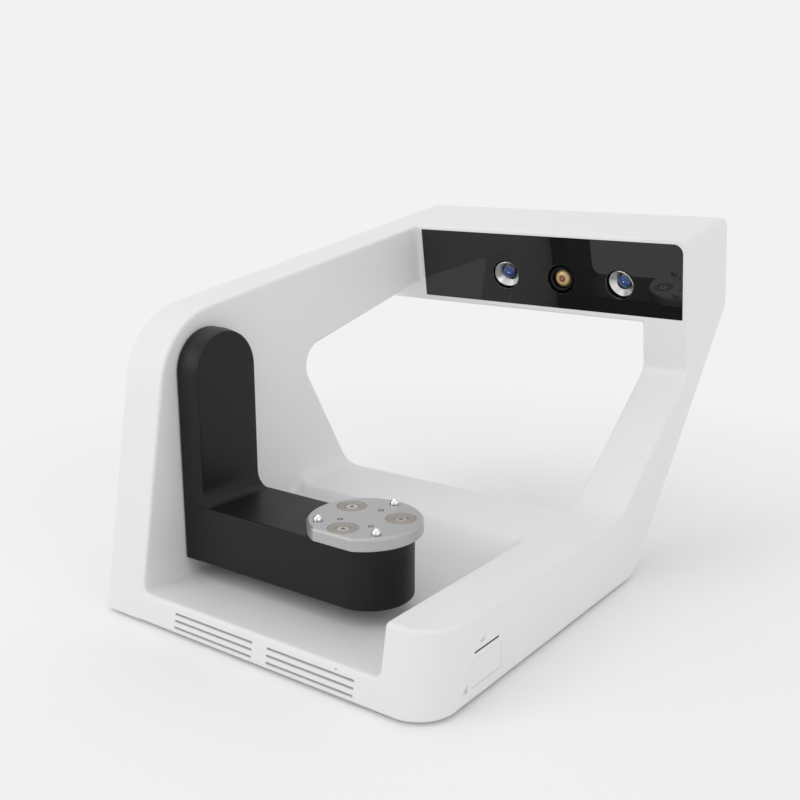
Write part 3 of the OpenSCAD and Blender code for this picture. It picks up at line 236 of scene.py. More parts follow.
def housing_field(x, y, z):
    """The housing's outer form on a grid, as distance in millimetres."""
    wall_2d = inside_of(outline(wall_lines, [8, 17.5, 0, 0, 56, 0]), y, z)[None]
    column_2d = inside_of(outline(column_lines, [28, 12, 6, 0, 8, 50, 0, 0]), y, z)[None]
    X, Y, Z = x[:, None, None], y[None, :, None], z[None, None, :]
    side = (X - front_w - toe * Y) / math.hypot(1, toe)
    left, below, above = -X + 0 * Y, -Z, Z - base_h
    front = -(Y * math.cos(lean) - Z * math.sin(lean))
    behind = (Y - notch_y) * along(notch_a)[1] - (Z - base_h) * along(notch_a)[0]
    base = rounded(edge_r, rounded(25.0, front, side), left, below + 0 * Y, above + 0 * Y, behind)
    bowl = np.minimum(np.hypot(Y - pivot_y, Z - pivot_h) - recess_r, np.maximum(Y - pivot_y, floor_h - Z))
    recess = rounded(5.4, bowl, wall_w - X, side + rail_w)
    base = rounded(edge_r, base, -recess)
    wall = rounded(edge_r, wall_2d, np.abs(X - wall_w / 2) - wall_w / 2)
    a, b = X - wall_w, Z - base_h + 0 * Y
    sweep = reduce(np.maximum, [a - sweep_r, b - sweep_r, sweep_r - np.hypot(a - sweep_r, b - sweep_r),
                                -a - 5, -b - 5, behind + 1.0, -recess])
    sweep = rounded(edge_r, sweep, front)
    out = np.minimum(np.minimum(base, wall), sweep)
    column = rounded(edge_r, column_2d, side, -side - rail_w)
    out = np.minimum(out, column)
    j, k = np.searchsorted(y, head_from[0]), np.searchsorted(z, head_from[1])
    if len(y) - j > 1 and len(z) - k > 1:
        Yh, Zh, side_h = Y[:, j:], Z[:, :, k:], side[:, j:]
        depth = (Yh - head_y) * math.cos(tilt) + (Zh - lens_h) * math.sin(tilt)
        top = (Zh - 193.5 - Yh * math.tan(slope)) * math.cos(slope)
        low = -(Zh - 176.4 - (Yh - head_low[0]) * math.tan(slope)) * math.cos(slope)
        rear = depth - head_depth
        body = reduce(np.maximum, [
            rounded(12.0, rear, side_h), rounded(12.0, rear, -X), rounded(10.0, top, side_h),
            rounded(12.0, low, rear), rounded(6.0, top, rear), rounded(edge_r, low, side_h),
            rounded(5.0, low, -X), rounded(edge_r, top, -X)])
        out[:, j:, k:] = np.minimum(out[:, j:, k:], rounded(edge_r, body, -depth))
        corner_cut = np.maximum(rounded(10.0, top, side_h), rounded(12.0, rear, side_h))
        out[:, j:, k:] = np.maximum(out[:, j:, k:], np.where(X > 200, corner_cut, -99))
    return out.astype(np.float32)


def meshed(field, low, high, step, adapt, name):
    """A mesh of where field is zero, sampled slab by slab on a grid of that step."""
    grid = openvdb.FloatGrid(background=3 * step)
    axes = [np.arange(a, b + step, step, dtype=np.float32) for a, b in zip(low, high)]
    for i in range(0, len(axes[0]), 48):
        block = np.clip(field(axes[0][i:i + 48], axes[1], axes[2]), -3 * step, 3 * step)
        grid.copyFromArray(np.ascontiguousarray(block), ijk=(i, 0, 0), tolerance=0)
    points, triangles, quads = grid.convertToPolygons(isovalue=0.0, adaptivity=adapt)
    points = (points * step + np.array(low)) / 1000 + np.array(corner)
    mesh = bpy.data.meshes.new(name)
    mesh.from_pydata(points.tolist(), [], [f[::-1] for f in triangles.tolist() + quads.tolist()])
    mesh.validate()
    return mesh


def in_head(x, depth, up):
    """A point of the head: x to the right, depth behind the window, up along it from the lens axes."""
    return at(x, head_y + depth * math.cos(tilt) - up * math.sin(tilt),
              lens_h + depth * math.sin(tilt) + up * math.cos(tilt))


def on_side(y, z):
    """The frame of the right side round that place: out of the side, to the rear along it, up."""
    c, s = math.cos(math.atan(toe)), math.sin(math.atan(toe))
    return lambda out, back, up: at(front_w + toe * y + out * c + back * s, y - out * s + back * c, z + up)


rear_a = math.radians(notch_a - 90)
rear_y = notch_y + base_h * math.tan(rear_a)


def on_rear(x, into, up):
    """A point of the base's sloping rear face: x to the right, into the housing, up along the face."""
    return at(x, rear_y - into * math.cos(rear_a) - up * math.sin(rear_a),
              -into * math.sin(rear_a) + up * math.cos(rear_a))


def prism(bm, points, frame_of, low, high):
    """A closed prism of that outline between two heights, placed by frame_of(u, v, height)."""
    ends = [[bm.verts.new(frame_of(u, v, h)) for u, v in points] for h in (low, high)]
    bm.faces.new(ends[0][::-1])
    bm.faces.new(ends[1])
    for i in range(len(points)):
        j = (i + 1) % len(points)
        bm.faces.new((ends[0][i], ends[0][j], ends[1][j], ends[1][i]))


def round_box(x0, x1, y0, y1, r, steps=6):
    """The outline of a rectangle with corners of radius r."""
    ends = ((x1 - r, y0 + r, -90), (x1 - r, y1 - r, 0), (x0 + r, y1 - r, 90), (x0 + r, y0 + r, 180))
    return [(x + r * along(a + 90 * k / steps)[0], y + r * along(a + 90 * k / steps)[1])
            for x, y, a in ends for k in range(steps + 1)]


def finished(bm, name, material=None):
    """A mesh object of bm with its normals pointing outwards."""
    bmesh.ops.recalc_face_normals(bm, faces=bm.faces)
    mesh = bpy.data.meshes.new(name)
    bm.to_mesh(mesh)
    bm.free()
    piece = bpy.data.objects.new(name, mesh)
    bpy.context.scene.collection.objects.link(piece)
    if material:
        mesh.materials.append(material)
    return piece


def applied(piece):
    """Turns a piece and its modifiers into a plain mesh."""
    result = bpy.data.meshes.new_from_object(piece.evaluated_get(bpy.context.evaluated_depsgraph_get()))
    piece.modifiers.clear()
    piece.data = result
    return piece


def cut_out(piece, cutter):
    """Cuts one closed mesh out of another."""
    cut = piece.modifiers.new("cut", "BOOLEAN")
    cut.operation, cut.solver, cut.object = "DIFFERENCE", "MANIFOLD", cutter
    applied(piece)
    bpy.data.objects.remove(cutter)
    return piece


def smooth(piece, angle=35):
    """Smooth shading in which large faces keep their own normal."""
    piece.data.shade_smooth()
    piece.data.set_sharp_from_angle(angle=math.radians(angle))
    even = piece.modifiers.new("even", "WEIGHTED_NORMAL")
    even.keep_sharp, even.weight = True, 60
    return applied(piece)


window_lines = [(0, -24.4, 0), (273.478, 0, 90), (0, 34.5, 180), (38.8, 0, 270)]
window_radii = [0.8, 7.5, 0.8, 0.8]
ledge = 4.0
window_opening = outline(window_lines, [0.8 + ledge, 7.5, 0.8 + ledge, 0.8 + ledge], ledge)
rear_x1 = front_w + toe * (head_y + head_depth) - 20
# head_front has its material on the head's side, so this opening ends behind it, 7.4 mm behind the cover itself.
cover_lines = [(0, 20, 0), rear_low, notch_top, head_front, wall_top, wall_front]
cover_outline = outline(cover_lines, [0, 17.5, 0, 0, 56, 0], 3.6)
plate_lines = [(0, 5, 0), (266.4, 0, 90 - toe_a), (0, 234, 180), (3.6, 0, 270)]
plate_outline = outline(plate_lines, [25, 3, 3, 3])
button_frame = on_side(57.5, 17)

# Flat parts of the walls that are made apart, with the frame of each, its extent and its small openings: the
# front slots, the button with its light strip, and the slots of the fan.
panels = ((lambda u, v, h: at(u, h + v * math.tan(lean), v), (62, 221, 2.9, 16),
           [round_box(x0, x1, top - 1.6, top, 0.75)
            for x0, x1 in ((67.2, 136.0), (147.9, 216.0)) for top in (14, 9.5, 5)]),
          (lambda u, v, h: button_frame(-h, u, v), (-20, 20, -12.5, 17),
           [round_box(-16.65, 16.65, -8.65, 8.65, 2.2), round_box(-13.15, 13.35, 12.35, 13.65, 0.2)]),
          (lambda u, v, h: on_rear(u, h, v), (166, 204, 17, 55),
           [round_box(185 + 6.6 * k - 1.5, 185 + 6.6 * k + 1.5, 21, 51, 1.45) for k in (-2, -1, 0, 1, 2)]))

cutters = bmesh.new()
for frame_of, extent, _ in panels:
    prism(cutters, round_box(*extent, 0.5), frame_of, -2, shell + 0.9)
prism(cutters, outline(window_lines, window_radii), lambda u, v, h: in_head(u, h, v), -2, 3)
prism(cutters, round_box(18, rear_x1, -14, 29, 0.6), lambda u, v, h: in_head(u, h, v),
      head_depth - 2.7, head_depth + 3)
prism(cutters, cover_outline, lambda u, v, h: at(h, u, v), -2, shell + 0.8)
prism(cutters, plate_outline, lambda u, v, h: at(u, v, h), -2, shell + 0.8)
prism(cutters, round_box(58, 142, 14, 44, 0.6), lambda u, v, h: on_rear(u, h, v), -2, 2)
first_cut = finished(cutters, "first_cut")
cutters = bmesh.new()
prism(cutters, window_opening, lambda u, v, h: in_head(u, h, v), 1, 8)
prism(cutters, round_box(24, rear_x1 - 6, -8, 23, 0.6), lambda u, v, h: in_head(u, h, v),
      head_depth - 9, head_depth - 1)
prism(cutters, round_box(60.5, 139.5, 16.5, 41.5, 0.6), lambda u, v, h: on_rear(u, h, v), 1, 5)
shaft_bore_r = 8
shaft_bore = [np.array((pivot_y, pivot_h)) + shaft_bore_r * along(10 * k) for k in range(36)]
prism(cutters, shaft_bore, lambda u, v, h: at(h, u, v), wall_w - 4.8, wall_w + 2.2)
second_cut = finished(cutters, "second_cut")


def hollow_field(x, y, z):
    """The hollow inside the shell, thicker before and behind the optics."""
    out = housing_field(x, y, z) + shell
    X, Y, Z = x[:, None, None], y[None, :, None], z[None, None, :]
    depth = (Y - head_y) * math.cos(tilt) + (Z - lens_h) * math.sin(tilt)
    face = np.where(X > 36, 5.5, 3.0) - depth
    face = np.where((Z > 171) & (Y > 320), face, -99)
    out = np.maximum(out, face)
    return np.maximum(out, np.where(Y > 380, depth - head_depth + 5.5, -99)).astype(np.float32)


shell_mesh = bmesh.new()
shell_mesh.from_mesh(meshed(housing_field, (-4, -4, -4), (284, 427, 258), 1.0, 0.02, "outside"))
outer_faces = len(shell_mesh.faces)
shell_mesh.from_mesh(meshed(hollow_field, (-4, -4, -4), (284, 427, 258), 2.0, 0.1, "inside"))
shell_mesh.faces.ensure_lookup_table()
bmesh.ops.reverse_faces(shell_mesh, faces=shell_mesh.faces[outer_faces:])
bmesh.ops.triangulate(shell_mesh, faces=shell_mesh.faces)
mesh = bpy.data.meshes.new("housing_shell")
shell_mesh.to_mesh(mesh)
shell_mesh.free()
housing = bpy.data.objects.new("housing_shell", mesh)
bpy.context.scene.collection.objects.link(housing)
cut_out(housing, first_cut)
cut_out(housing, second_cut)
shell_mesh = bmesh.new()
shell_mesh.from_mesh(housing.data)
bmesh.ops.dissolve_degenerate(shell_mesh, dist=1e-5, edges=shell_mesh.edges)
bmesh.ops.dissolve_limit(shell_mesh, angle_limit=math.radians(0.2), verts=shell_mesh.verts,
                         edges=shell_mesh.edges)
for frame_of, extent, openings in panels:
    bm, cutters = bmesh.new(), bmesh.new()
    prism(bm, round_box(*extent, 0.5), frame_of, 0, shell)
    for opening in openings:
        prism(cutters, opening, frame_of, -1, shell + 1)
    panel = cut_out(finished(bm, "panel"), finished(cutters, "openings"))
    shell_mesh.from_mesh(panel.data)
    bpy.data.objects.remove(panel)
shell_mesh.to_mesh(housing.data)
shell_mesh.free()


def surface(name, code, rough, grain=0.25, depth=0.004, mottle=0.02, stretch=(1, 1, 1), **extra):
    """A solid material: its colour a little mottled, its gloss uneven, and fine relief of that grain in mm, drawn
    out along the axes where stretch is small."""
    material = bpy.data.materials.new(name)
    material.use_nodes = True
    tree = material.node_tree
    shader = tree.nodes["Principled BSDF"]
    shader.inputs["IOR"].default_value = 1.5
    for key, value in extra.items():
        shader.inputs[key.replace("_", " ")].default_value = value
    place = add(tree, "ShaderNodeTexCoord")
    drawn = add(tree, "ShaderNodeMapping", {"Scale": stretch}, Vector=place.outputs["Object"])
    fine = add(tree, "ShaderNodeTexNoise", {"Scale": 1000 / grain, "Detail": 2.0}, Vector=drawn.outputs[0])
    broad = add(tree, "ShaderNodeTexNoise", {"Scale": 30.0, "Detail": 3.0}, Vector=place.outputs["Object"])
    base, spread = colour(code), min(0.04, rough / 2)
    darker = tuple(c * (1 - mottle) for c in base[:3]) + (1,)
    tint = add(tree, "ShaderNodeMix", {"data_type": "RGBA", 6: darker, 7: base}, _0=broad.outputs["Fac"])
    gloss = add(tree, "ShaderNodeMapRange", {"To Min": rough - spread, "To Max": rough + spread},
                Value=broad.outputs["Fac"])
    bump = add(tree, "ShaderNodeBump", {"Strength": 0.6, "Distance": depth / 1000}, Height=fine.outputs["Fac"])
    tree.links.new(tint.outputs[2], shader.inputs["Base Color"])
    tree.links.new(gloss.outputs[0], shader.inputs["Roughness"])
    tree.links.new(bump.outputs[0], shader.inputs["Normal"])
    return material


def rides(piece, body, slot, *nodes):
    """Places a finished piece on its body, in the stead of its CAD nodes."""
    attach(piece, body)
    if nodes:
        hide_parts(*nodes)


# Injection-moulded ABS with a satin spark-eroded texture: soft, even, faintly grained white.
white_abs = surface("satin_white_ABS", "#EAEAEA", 0.48, grain=0.35, depth=0.006)
housing.data.materials.clear()
housing.data.materials.append(white_abs)
smooth(housing)
rides(housing, "housing", "white_shell", "main_housing")

# ---------------------------------------------------------------------------------------------------------
# Covers: moulded panels of the same white ABS, one that closes the left wall over the tilt drive and one at
# the rear of the head. Each lies flush in its opening and is held by sunk screws. The gap round them is fine,
# except at the rear end of the left one, where a slit stays open.


def softened(name, node, width, material, angle=30, segments=2):
    """A piece with the form of its CAD node and its edges rounded to that width in mm."""
    bm = bmesh.new()
    bm.from_mesh(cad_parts[node].data)
    bmesh.ops.remove_doubles(bm, verts=bm.verts, dist=3e-6)
    bmesh.ops.dissolve_limit(bm, angle_limit=math.radians(0.5), verts=bm.verts, edges=bm.edges)
    piece = finished(bm, name, material)
    edge = piece.modifiers.new("edge", "BEVEL")
    edge.width, edge.segments = width / 1000, segments
    edge.limit_method, edge.angle_limit = "ANGLE", math.radians(angle)
    return smooth(applied(piece), 40)


for name, node, width in (("left_wall_cover", "left_side_cover", 0.5),
                          ("head_back_cover", "head_rear_cover", 0.4)):
    rides(softened(name, node, width, white_abs), "housing", "white_shell", node)

# ---------------------------------------------------------------------------------------------------------
# Camera window: one sheet of black acrylic, polished on both faces, its edge and the rims of its three holes
# slightly chamfered, glued on the ledge of the head's opening.


def circle(r, x=0.0, y=0.0, steps=96):
    """The outline of a circle."""
    turns = [2 * math.pi * k / steps for k in range(steps)]
    return [(x + r * math.cos(a), y + r * math.sin(a)) for a in turns]


lens_pitch, hole_r = 51.0, 12.0
eyes = (lens_x - lens_pitch, lens_x, lens_x + lens_pitch)
black_acrylic = surface("polished_black_acrylic", "#1B1B1C", 0.015, grain=3.0, depth=0.0002, mottle=0.05,
                        IOR=1.49)
# The forward-facing chamfers round the three holes are painted light grey: a painted highlight along their rims, not
# the acrylic's own colour.
rim_highlight_paint = surface("painted_rim_highlight", "#BCBEC0", 0.4, grain=0.2, depth=0.002, IOR=1.49)
bm = bmesh.new()
prism(bm, outline(window_lines, window_radii, 0.1), lambda u, v, h: in_head(u, h, v), 0.05, 3.0)
window = finished(bm, "front_window", black_acrylic)
window.data.materials.append(rim_highlight_paint)
bm = bmesh.new()
for x in eyes:
    prism(bm, circle(hole_r, x), lambda u, v, h: in_head(u, h, v), -1, 4)
cut_out(window, finished(bm, "holes"))
edge = window.modifiers.new("edge", "BEVEL")
edge.width, edge.segments, edge.limit_method, edge.angle_limit = 0.0006, 2, "ANGLE", math.radians(40)
edge.material = 1
applied(window)
# Only forward-facing chamfers within 1 mm of a hole rim keep the painted highlight; every other face stays black
# acrylic.
for face in window.data.polygons:
    from_rim = min(abs((face.center - in_head(x, 0, 0)).length * 1000 - hole_r) for x in eyes)
    if from_rim > 1.0 or face.normal.y > 0.1:
        face.material_index = 0
smooth(window, 50)
rides(window, "housing", "window_black", "camera_window")

# ---------------------------------------------------------------------------------------------------------
# Optics: two cameras that look through turned aluminium funnels with coated lenses, and a projector with a
# black barrel and an amber-coated lens between them. The cameras turn in towards the turntable.


def turned(bm, profile, frame_of, steps=96, closed=False):
    """A body of revolution. The profile is (radius, height) pairs in mm, and each face's UV map holds the share
    of a turn and the length along the profile in mm."""
    uv = bm.loops.layers.uv.get("UVMap") or bm.loops.layers.uv.new("UVMap")
    rings, run = [], [0.0]
    for a, b in zip(profile, profile[1:] + profile[:1]):
        run.append(run[-1] + math.hypot(b[0] - a[0], b[1] - a[1]))
    for r, h in profile:
        if r < 1e-6:
            rings.append([bm.verts.new(frame_of(0, 0, h))] * steps)
        else:
            rings.append([bm.verts.new(frame_of(u, v, h)) for u, v in circle(r, steps=steps)])
    pairs = [(i, i + 1) for i in range(len(profile) - 1)] + ([(len(profile) - 1, 0)] if closed else [])
    for i, j in pairs:
        for k in range(steps):
            m = (k + 1) % steps
            corners = [(rings[i][k], k, i), (rings[i][m], k + 1, i),
                       (rings[j][m], k + 1, i + 1), (rings[j][k], k, i + 1)]
            kept = []
            for c in corners:
                if all(c[0] is not d[0] for d in kept):
                    kept.append(c)
            if len(kept) < 3:
                continue
            face = bm.faces.new([c[0] for c in kept])
            for loop, c in zip(face.loops, kept):
                loop[uv].uv = (c[1] / steps, run[c[2]])


def along_profile(tree):
    """The length along a turned piece's profile in mm, from its UV map."""
    attribute = add(tree, "ShaderNodeAttribute", {"attribute_name": "UVMap"})
    return add(tree, "ShaderNodeSeparateXYZ", None, _0=attribute.outputs["Vector"]).outputs["Y"]


def ringed(material, pitch, depth, strength=0.5, run=None):
    """Adds fine lathe lines to a material's relief, of that pitch and depth. They follow the length along the
    profile in mm, or the length that run gives, with the pitch in its unit."""
    tree = material.node_tree
    grain = next(n for n in tree.nodes if n.type == "BUMP")
    length = along_profile(tree) if run is None else run
    phase = add(tree, "ShaderNodeMath", {"operation": "MULTIPLY", 1: 2 * math.pi / pitch}, _0=length)
    wave = add(tree, "ShaderNodeMath", {"operation": "SINE"}, _0=phase.outputs[0])
    lines = add(tree, "ShaderNodeBump", {"Strength": strength, "Distance": depth / 1000},
                Height=wave.outputs[0], Normal=grain.outputs[0])
    tree.links.new(lines.outputs[0], tree.nodes["Principled BSDF"].inputs["Normal"])
    return material


def painted_lens(name, stops, rough=0.03, painted_glow=0.0):
    """Lens glass painted with light: rings of painted reflection by radius in mm, a painted highlight at the centre
    and painted shade towards the rim, in the base colour and again as a faint painted glow, under a clear polished
    coat.
    """
    material = bpy.data.materials.new(name)
    material.use_nodes = True
    tree = material.node_tree
    shader = tree.nodes["Principled BSDF"]
    place = add(tree, "ShaderNodeTexCoord")
    haze = add(tree, "ShaderNodeTexNoise", {"Scale": 220.0, "Detail": 2.0}, Vector=place.outputs["Object"])
    shift = add(tree, "ShaderNodeMath", {"operation": "MULTIPLY_ADD", 1: 0.35},
                _0=haze.outputs["Fac"], _2=along_profile(tree))
    share = add(tree, "ShaderNodeMath", {"operation": "DIVIDE", 1: stops[-1][0]}, _0=shift.outputs[0])
    ramp = add(tree, "ShaderNodeValToRGB", None, Fac=share.outputs[0])
    marks = ramp.color_ramp.elements
    marks[0].position, marks[0].color = stops[0][0] / stops[-1][0], colour(stops[0][1])
    marks[1].position, marks[1].color = 1.0, colour(stops[-1][1])
    for at_mm, code in stops[1:-1]:
        marks.new(at_mm / stops[-1][0]).color = colour(code)
    tree.links.new(ramp.outputs["Color"], shader.inputs["Base Color"])
    # The painted rings also feed the emission: a faint painted glow, though the lens is no lamp.
    tree.links.new(ramp.outputs["Color"], shader.inputs["Emission Color"])
    shader.inputs["Emission Strength"].default_value = painted_glow
    shader.inputs["Roughness"].default_value = 0.3
    shader.inputs["Coat Weight"].default_value = 1.0
    shader.inputs["Coat Roughness"].default_value = rough
    return material


def unit_frame(x, toe_in):
    """Frame of one camera: its axis turned in by that angle and down towards the turntable, both in degrees."""
    a, b = math.radians(toe_in), math.radians(13.0 if toe_in else 0.0)
    turn = Matrix.Rotation(a, 3, "Z") @ Matrix.Rotation(b, 3, "X")

    def place(u, v, depth):
        w = turn @ Vector((u, depth - 4.0, v))
        return in_head(x + w.x, w.y + 4.0, w.z)
    return place


def lens_profile(r, front, sag, back, arc):
    """The profile of a lens of radius r: its front face bulges by sag over an arc of that many degrees."""
    end = along(arc)
    dome = [(r * along(a)[1] / end[1], front + sag * (1 - along(a)[0]) / (1 - end[0])) for a in range(4, arc + 1, 4)]
    return [(0, front)] + dome + [(r, back), (0, back)]


def turned_piece(name, profile, frame_of, finish, angle, slot, node, closed=False):
    """A turned piece of the head in the stead of its CAD node."""
    bm = bmesh.new()
    turned(bm, profile, frame_of, closed=closed)
    rides(smooth(finished(bm, name, finish), angle), "housing", slot, node)


turned_aluminium = ringed(surface("turned_aluminium", "#DCDCDD", 0.34, grain=0.15, depth=0.001, Metallic=0.9),
                          0.25, 0.003)
# Camera lenses: a near-white painted highlight at the centre, then rings of painted reflection in blues, painted
# dark towards the rim, also given as a faint painted glow.
blue_lens_painted_reflections = painted_lens("blue_glass_painted_reflections", [
    (0, "#F0F5FF"), (0.6, "#C9D8F5"), (1.0, "#23408C"), (1.7, "#0D1A4A"), (2.6, "#3A62B5"),
    (3.4, "#131D55"), (4.6, "#2B4F9E"), (5.4, "#0B2B3C"), (6.4, "#06080F")], painted_glow=0.06)
funnel = [(11.1, 3.2), (10.8, 2.9), (6.5, 8.4), (6.5, 9.4), (7.6, 9.4), (11.1, 4.6)]
lens = lens_profile(6.35, 5.9, 1.9, 9.3, 40)
for name, x, toe_in in (("left", eyes[0], 10.0), ("right", eyes[2], -10.0)):
    place = unit_frame(x, toe_in)
    turned_piece(name + "_camera_funnel", funnel, place, turned_aluminium, 30, "silver_ring",
                 f"camera_{name}_ring", True)
    turned_piece(name + "_camera_lens", lens, place, blue_lens_painted_reflections, 50, "lens_glass", f"camera_{name}_glass")

black_barrel = ringed(surface("black_anodised_aluminium", "#101011", 0.3, grain=0.2, depth=0.001, Metallic=0.4),
                      0.5, 0.01)
# Projector lens: amber-tinted glass with a near-white painted highlight at the centre and rings of painted
# reflection in amber, green and violet, painted dark towards the rim, also given as a faint painted glow.
amber_lens_painted_reflections = painted_lens("amber_glass_painted_reflections", [
    (0, "#FFF3DC"), (0.55, "#F2D9A8"), (0.9, "#6A3010"), (1.9, "#4A200C"), (2.8, "#9A6232"),
    (4.4, "#D9B27C"), (6.0, "#B79A62"), (7.4, "#7C7A34"), (8.2, "#4B3F7A"), (9.0, "#15121E")], painted_glow=0.05)
barrel = [(8.3, 1.0), (9.7, 1.0), (10.0, 1.3), (10.0, 21.0), (0, 21.0), (0, 9.0), (8.0, 9.0), (8.0, 1.3)]
place = unit_frame(eyes[1], 0.0)
turned_piece("projector_lens_barrel", barrel, place, black_barrel, 30, "black_plastic", "projector_barrel", True)
turned_piece("projector_lens", lens_profile(7.9, 2.0, 3.4, 9.0, 48), place, amber_lens_painted_reflections, 50, "amber_glass",
             "projector_glass")

# ---------------------------------------------------------------------------------------------------------
# Swing arm: an L of black satin ABS on the tilt shaft, a hollow moulding open below, with a swept corner from
# the upright into the leg and a tapered rim round the upright's face. A flat cover closes it from below.
arm_x, arm_face, arm_half = 35.7, 53.7, 28.85
leg_low, leg_top, leg_end, arm_skin = 31.2, 72.4, 175.2, 3.0
fillet_r, taper_l, taper_in = 11, 7.6, 1.5
arm_posts = [(74.7, 50.5), (74.7, 93.5), (144.7, 50.5), (144.7, 93.5)]


def arm_field(x, y, z):
    """The swing arm's form on a grid, as distance in millimetres."""
    X, Y, Z = x[:, None, None], y[None, :, None], z[None, None, :]
    half = np.abs(Y - pivot_y)
    reach = np.where(Z > pivot_h, np.hypot(half, Z - pivot_h), half + 0 * Z)
    end = np.where(X > leg_end, np.hypot(X - leg_end, half), half + 0 * X)
    rim = np.clip((X - arm_face + taper_l) / taper_l, 0, 1) * taper_in
    upright = rounded(0.8, reach - arm_half + rim, arm_x - X, X - arm_face, leg_low - Z)
    leg = rounded(0.8, rounded(1.6, end - arm_half, leg_low - Z), arm_x - X, Z - leg_top)
    a, b = X - arm_face - fillet_r, Z - leg_top - fillet_r
    sweep = reduce(np.maximum, [a, b, fillet_r - np.hypot(a, b), arm_face - 3 - X, leg_top - 3 - Z,
                                half - arm_half + taper_in])
    form = np.minimum(np.minimum(upright, leg), sweep)
    wide = reduce(np.maximum, [reach - arm_half + arm_skin + taper_in, arm_x + arm_skin - X,
                               X - arm_face + arm_skin])
    low = np.maximum(end - arm_half + arm_skin, np.maximum(arm_x + arm_skin - X, Z - leg_top + arm_skin))
    posts = reduce(np.minimum, [np.hypot(X - p, Y - q) for p, q in arm_posts])
    spindle = np.hypot(X - lens_x, Y - pivot_y)
    kept = np.minimum(np.maximum(posts - 3.5, leg_low + 2.7 - Z), np.maximum(spindle - 15, 55.4 - Z))
    hollow = np.maximum(np.minimum(wide, low), -kept)
    bores = reduce(np.minimum, [np.maximum(spindle - 11, Z - leg_top + arm_skin), spindle - 7 + 0 * Z,
                                np.maximum(np.hypot(Y - pivot_y, Z - pivot_h) - 6, X - arm_x - arm_skin - 1),
                                np.maximum(posts - 1.6, Z - leg_low - 9)])
    return reduce(np.maximum, [form, -hollow, -bores]).astype(np.float32)


black_abs = surface("satin_black_ABS", "#0B0B0C", 0.42, grain=0.3, depth=0.004, mottle=0.06,
                    Specular_IOR_Level=0.3)
mesh = meshed(arm_field, (34, 41.5, 29.5), (206, 102.5, 193), 0.6, 0.03, "swing_arm_moulding")
mesh.materials.append(black_abs)
arm = bpy.data.objects.new("swing_arm_moulding", mesh)
bpy.context.scene.collection.objects.link(arm)
rides(smooth(arm, 30), "arm", "arm_black", "swing_arm")
rides(softened("arm_underside_cover", "arm_bottom_cover", 0.3, black_abs), "arm", "arm_black", "arm_bottom_cover")

# ---------------------------------------------------------------------------------------------------------
# Turntable: a thick aluminium disc, turned and satin anodised, with a chamfered rim and a flat at its front.
# It is screwed on the spindle's flange and carries three ring magnets and three ball studs that centre a model.
disc_low, disc_top, disc_r, disc_flat = 73.8, 82.2, 37.4, 34.3
magnet_at = [(22.8, a) for a in (30, 150, 270)]
stud_at = [(30.3, a) for a in (88, 226, 320)]
screw_at = [(16.0, a) for a in (88, 226, 320)]


def on_disc(r, angle, up=0.0):
    """A point of the turntable, up from the disc's top."""
    u, v = r * along(angle)
    return at(lens_x + u, pivot_y + v, disc_top + up)


def disc_outline(inset):
    """The disc's outline with its flat, moved in by inset, always with as many points."""
    r, f = disc_r - inset, disc_flat - inset
    c = math.acos(f / r)
    turns = [-math.pi / 2 + c + (2 * math.pi - 2 * c) * k / 190 for k in range(191)]
    return [(lens_x + r * math.cos(a), pivot_y + r * math.sin(a)) for a in turns]


anodised = surface("satin_anodised_aluminium", "#B8B8B9", 0.38, grain=0.12, depth=0.0015, mottle=0.03,
                   Metallic=0.75)
tree = anodised.node_tree
place = add(tree, "ShaderNodeTexCoord")
centre = at(lens_x, pivot_y, 0)
away = add(tree, "ShaderNodeVectorMath", {"operation": "SUBTRACT", 1: tuple(centre)},
           _0=place.outputs["Object"])
level = add(tree, "ShaderNodeVectorMath", {"operation": "MULTIPLY", 1: (1, 1, 0)}, _0=away.outputs[0])
radius = add(tree, "ShaderNodeVectorMath", {"operation": "LENGTH"}, _0=level.outputs[0])
ringed(anodised, 0.00022, 0.002, 0.35, radius.outputs["Value"])
bm = bmesh.new()
rim = ((0.4, disc_low), (0.0, disc_low + 0.4), (0.0, disc_top - 1.3), (0.12, disc_top - 1.12),
       (1.15, disc_top - 0.1), (1.35, disc_top))
rings = [[bm.verts.new(at(x, y, z)) for x, y in disc_outline(inset)] for inset, z in rim]
for a, b in zip(rings, rings[1:]):
    for k in range(len(a)):
        m = (k + 1) % len(a)
        bm.faces.new((a[k], a[m], b[m], b[k]))
for ring, z in ((rings[0], disc_low), (rings[-1], disc_top)):
    middle = bm.verts.new(at(lens_x, pivot_y, z))
    for k in range(len(ring)):
        bm.faces.new((ring[k], ring[(k + 1) % len(ring)], middle))
disc = finished(bm, "turntable_plate", anodised)
bm = bmesh.new()
for places, r, low in ((magnet_at, 10.08, -5), (stud_at, 3.2, -0.6), (stud_at, 1.5, -5), (screw_at, 1.1, -9),
                       (screw_at, 1.95, -1.73)):
    for ring, angle in places:
        u, v = ring * along(angle)
        prism(bm, circle(r, lens_x + u, pivot_y + v, 64), lambda x, y, h: at(x, y, disc_top + h), low, 1)
cut_out(disc, finished(bm, "holes"))
bm = bmesh.new()
flange_r, flange_top = 20.1, 76.6
prism(bm, circle(flange_r, lens_x, pivot_y), lambda u, v, h: at(u, v, h), disc_low - 1, flange_top)
cut_out(disc, finished(bm, "flange_seat"))
rides(smooth(disc, 22), "turntable", "disc_aluminium", "turntable_disc")


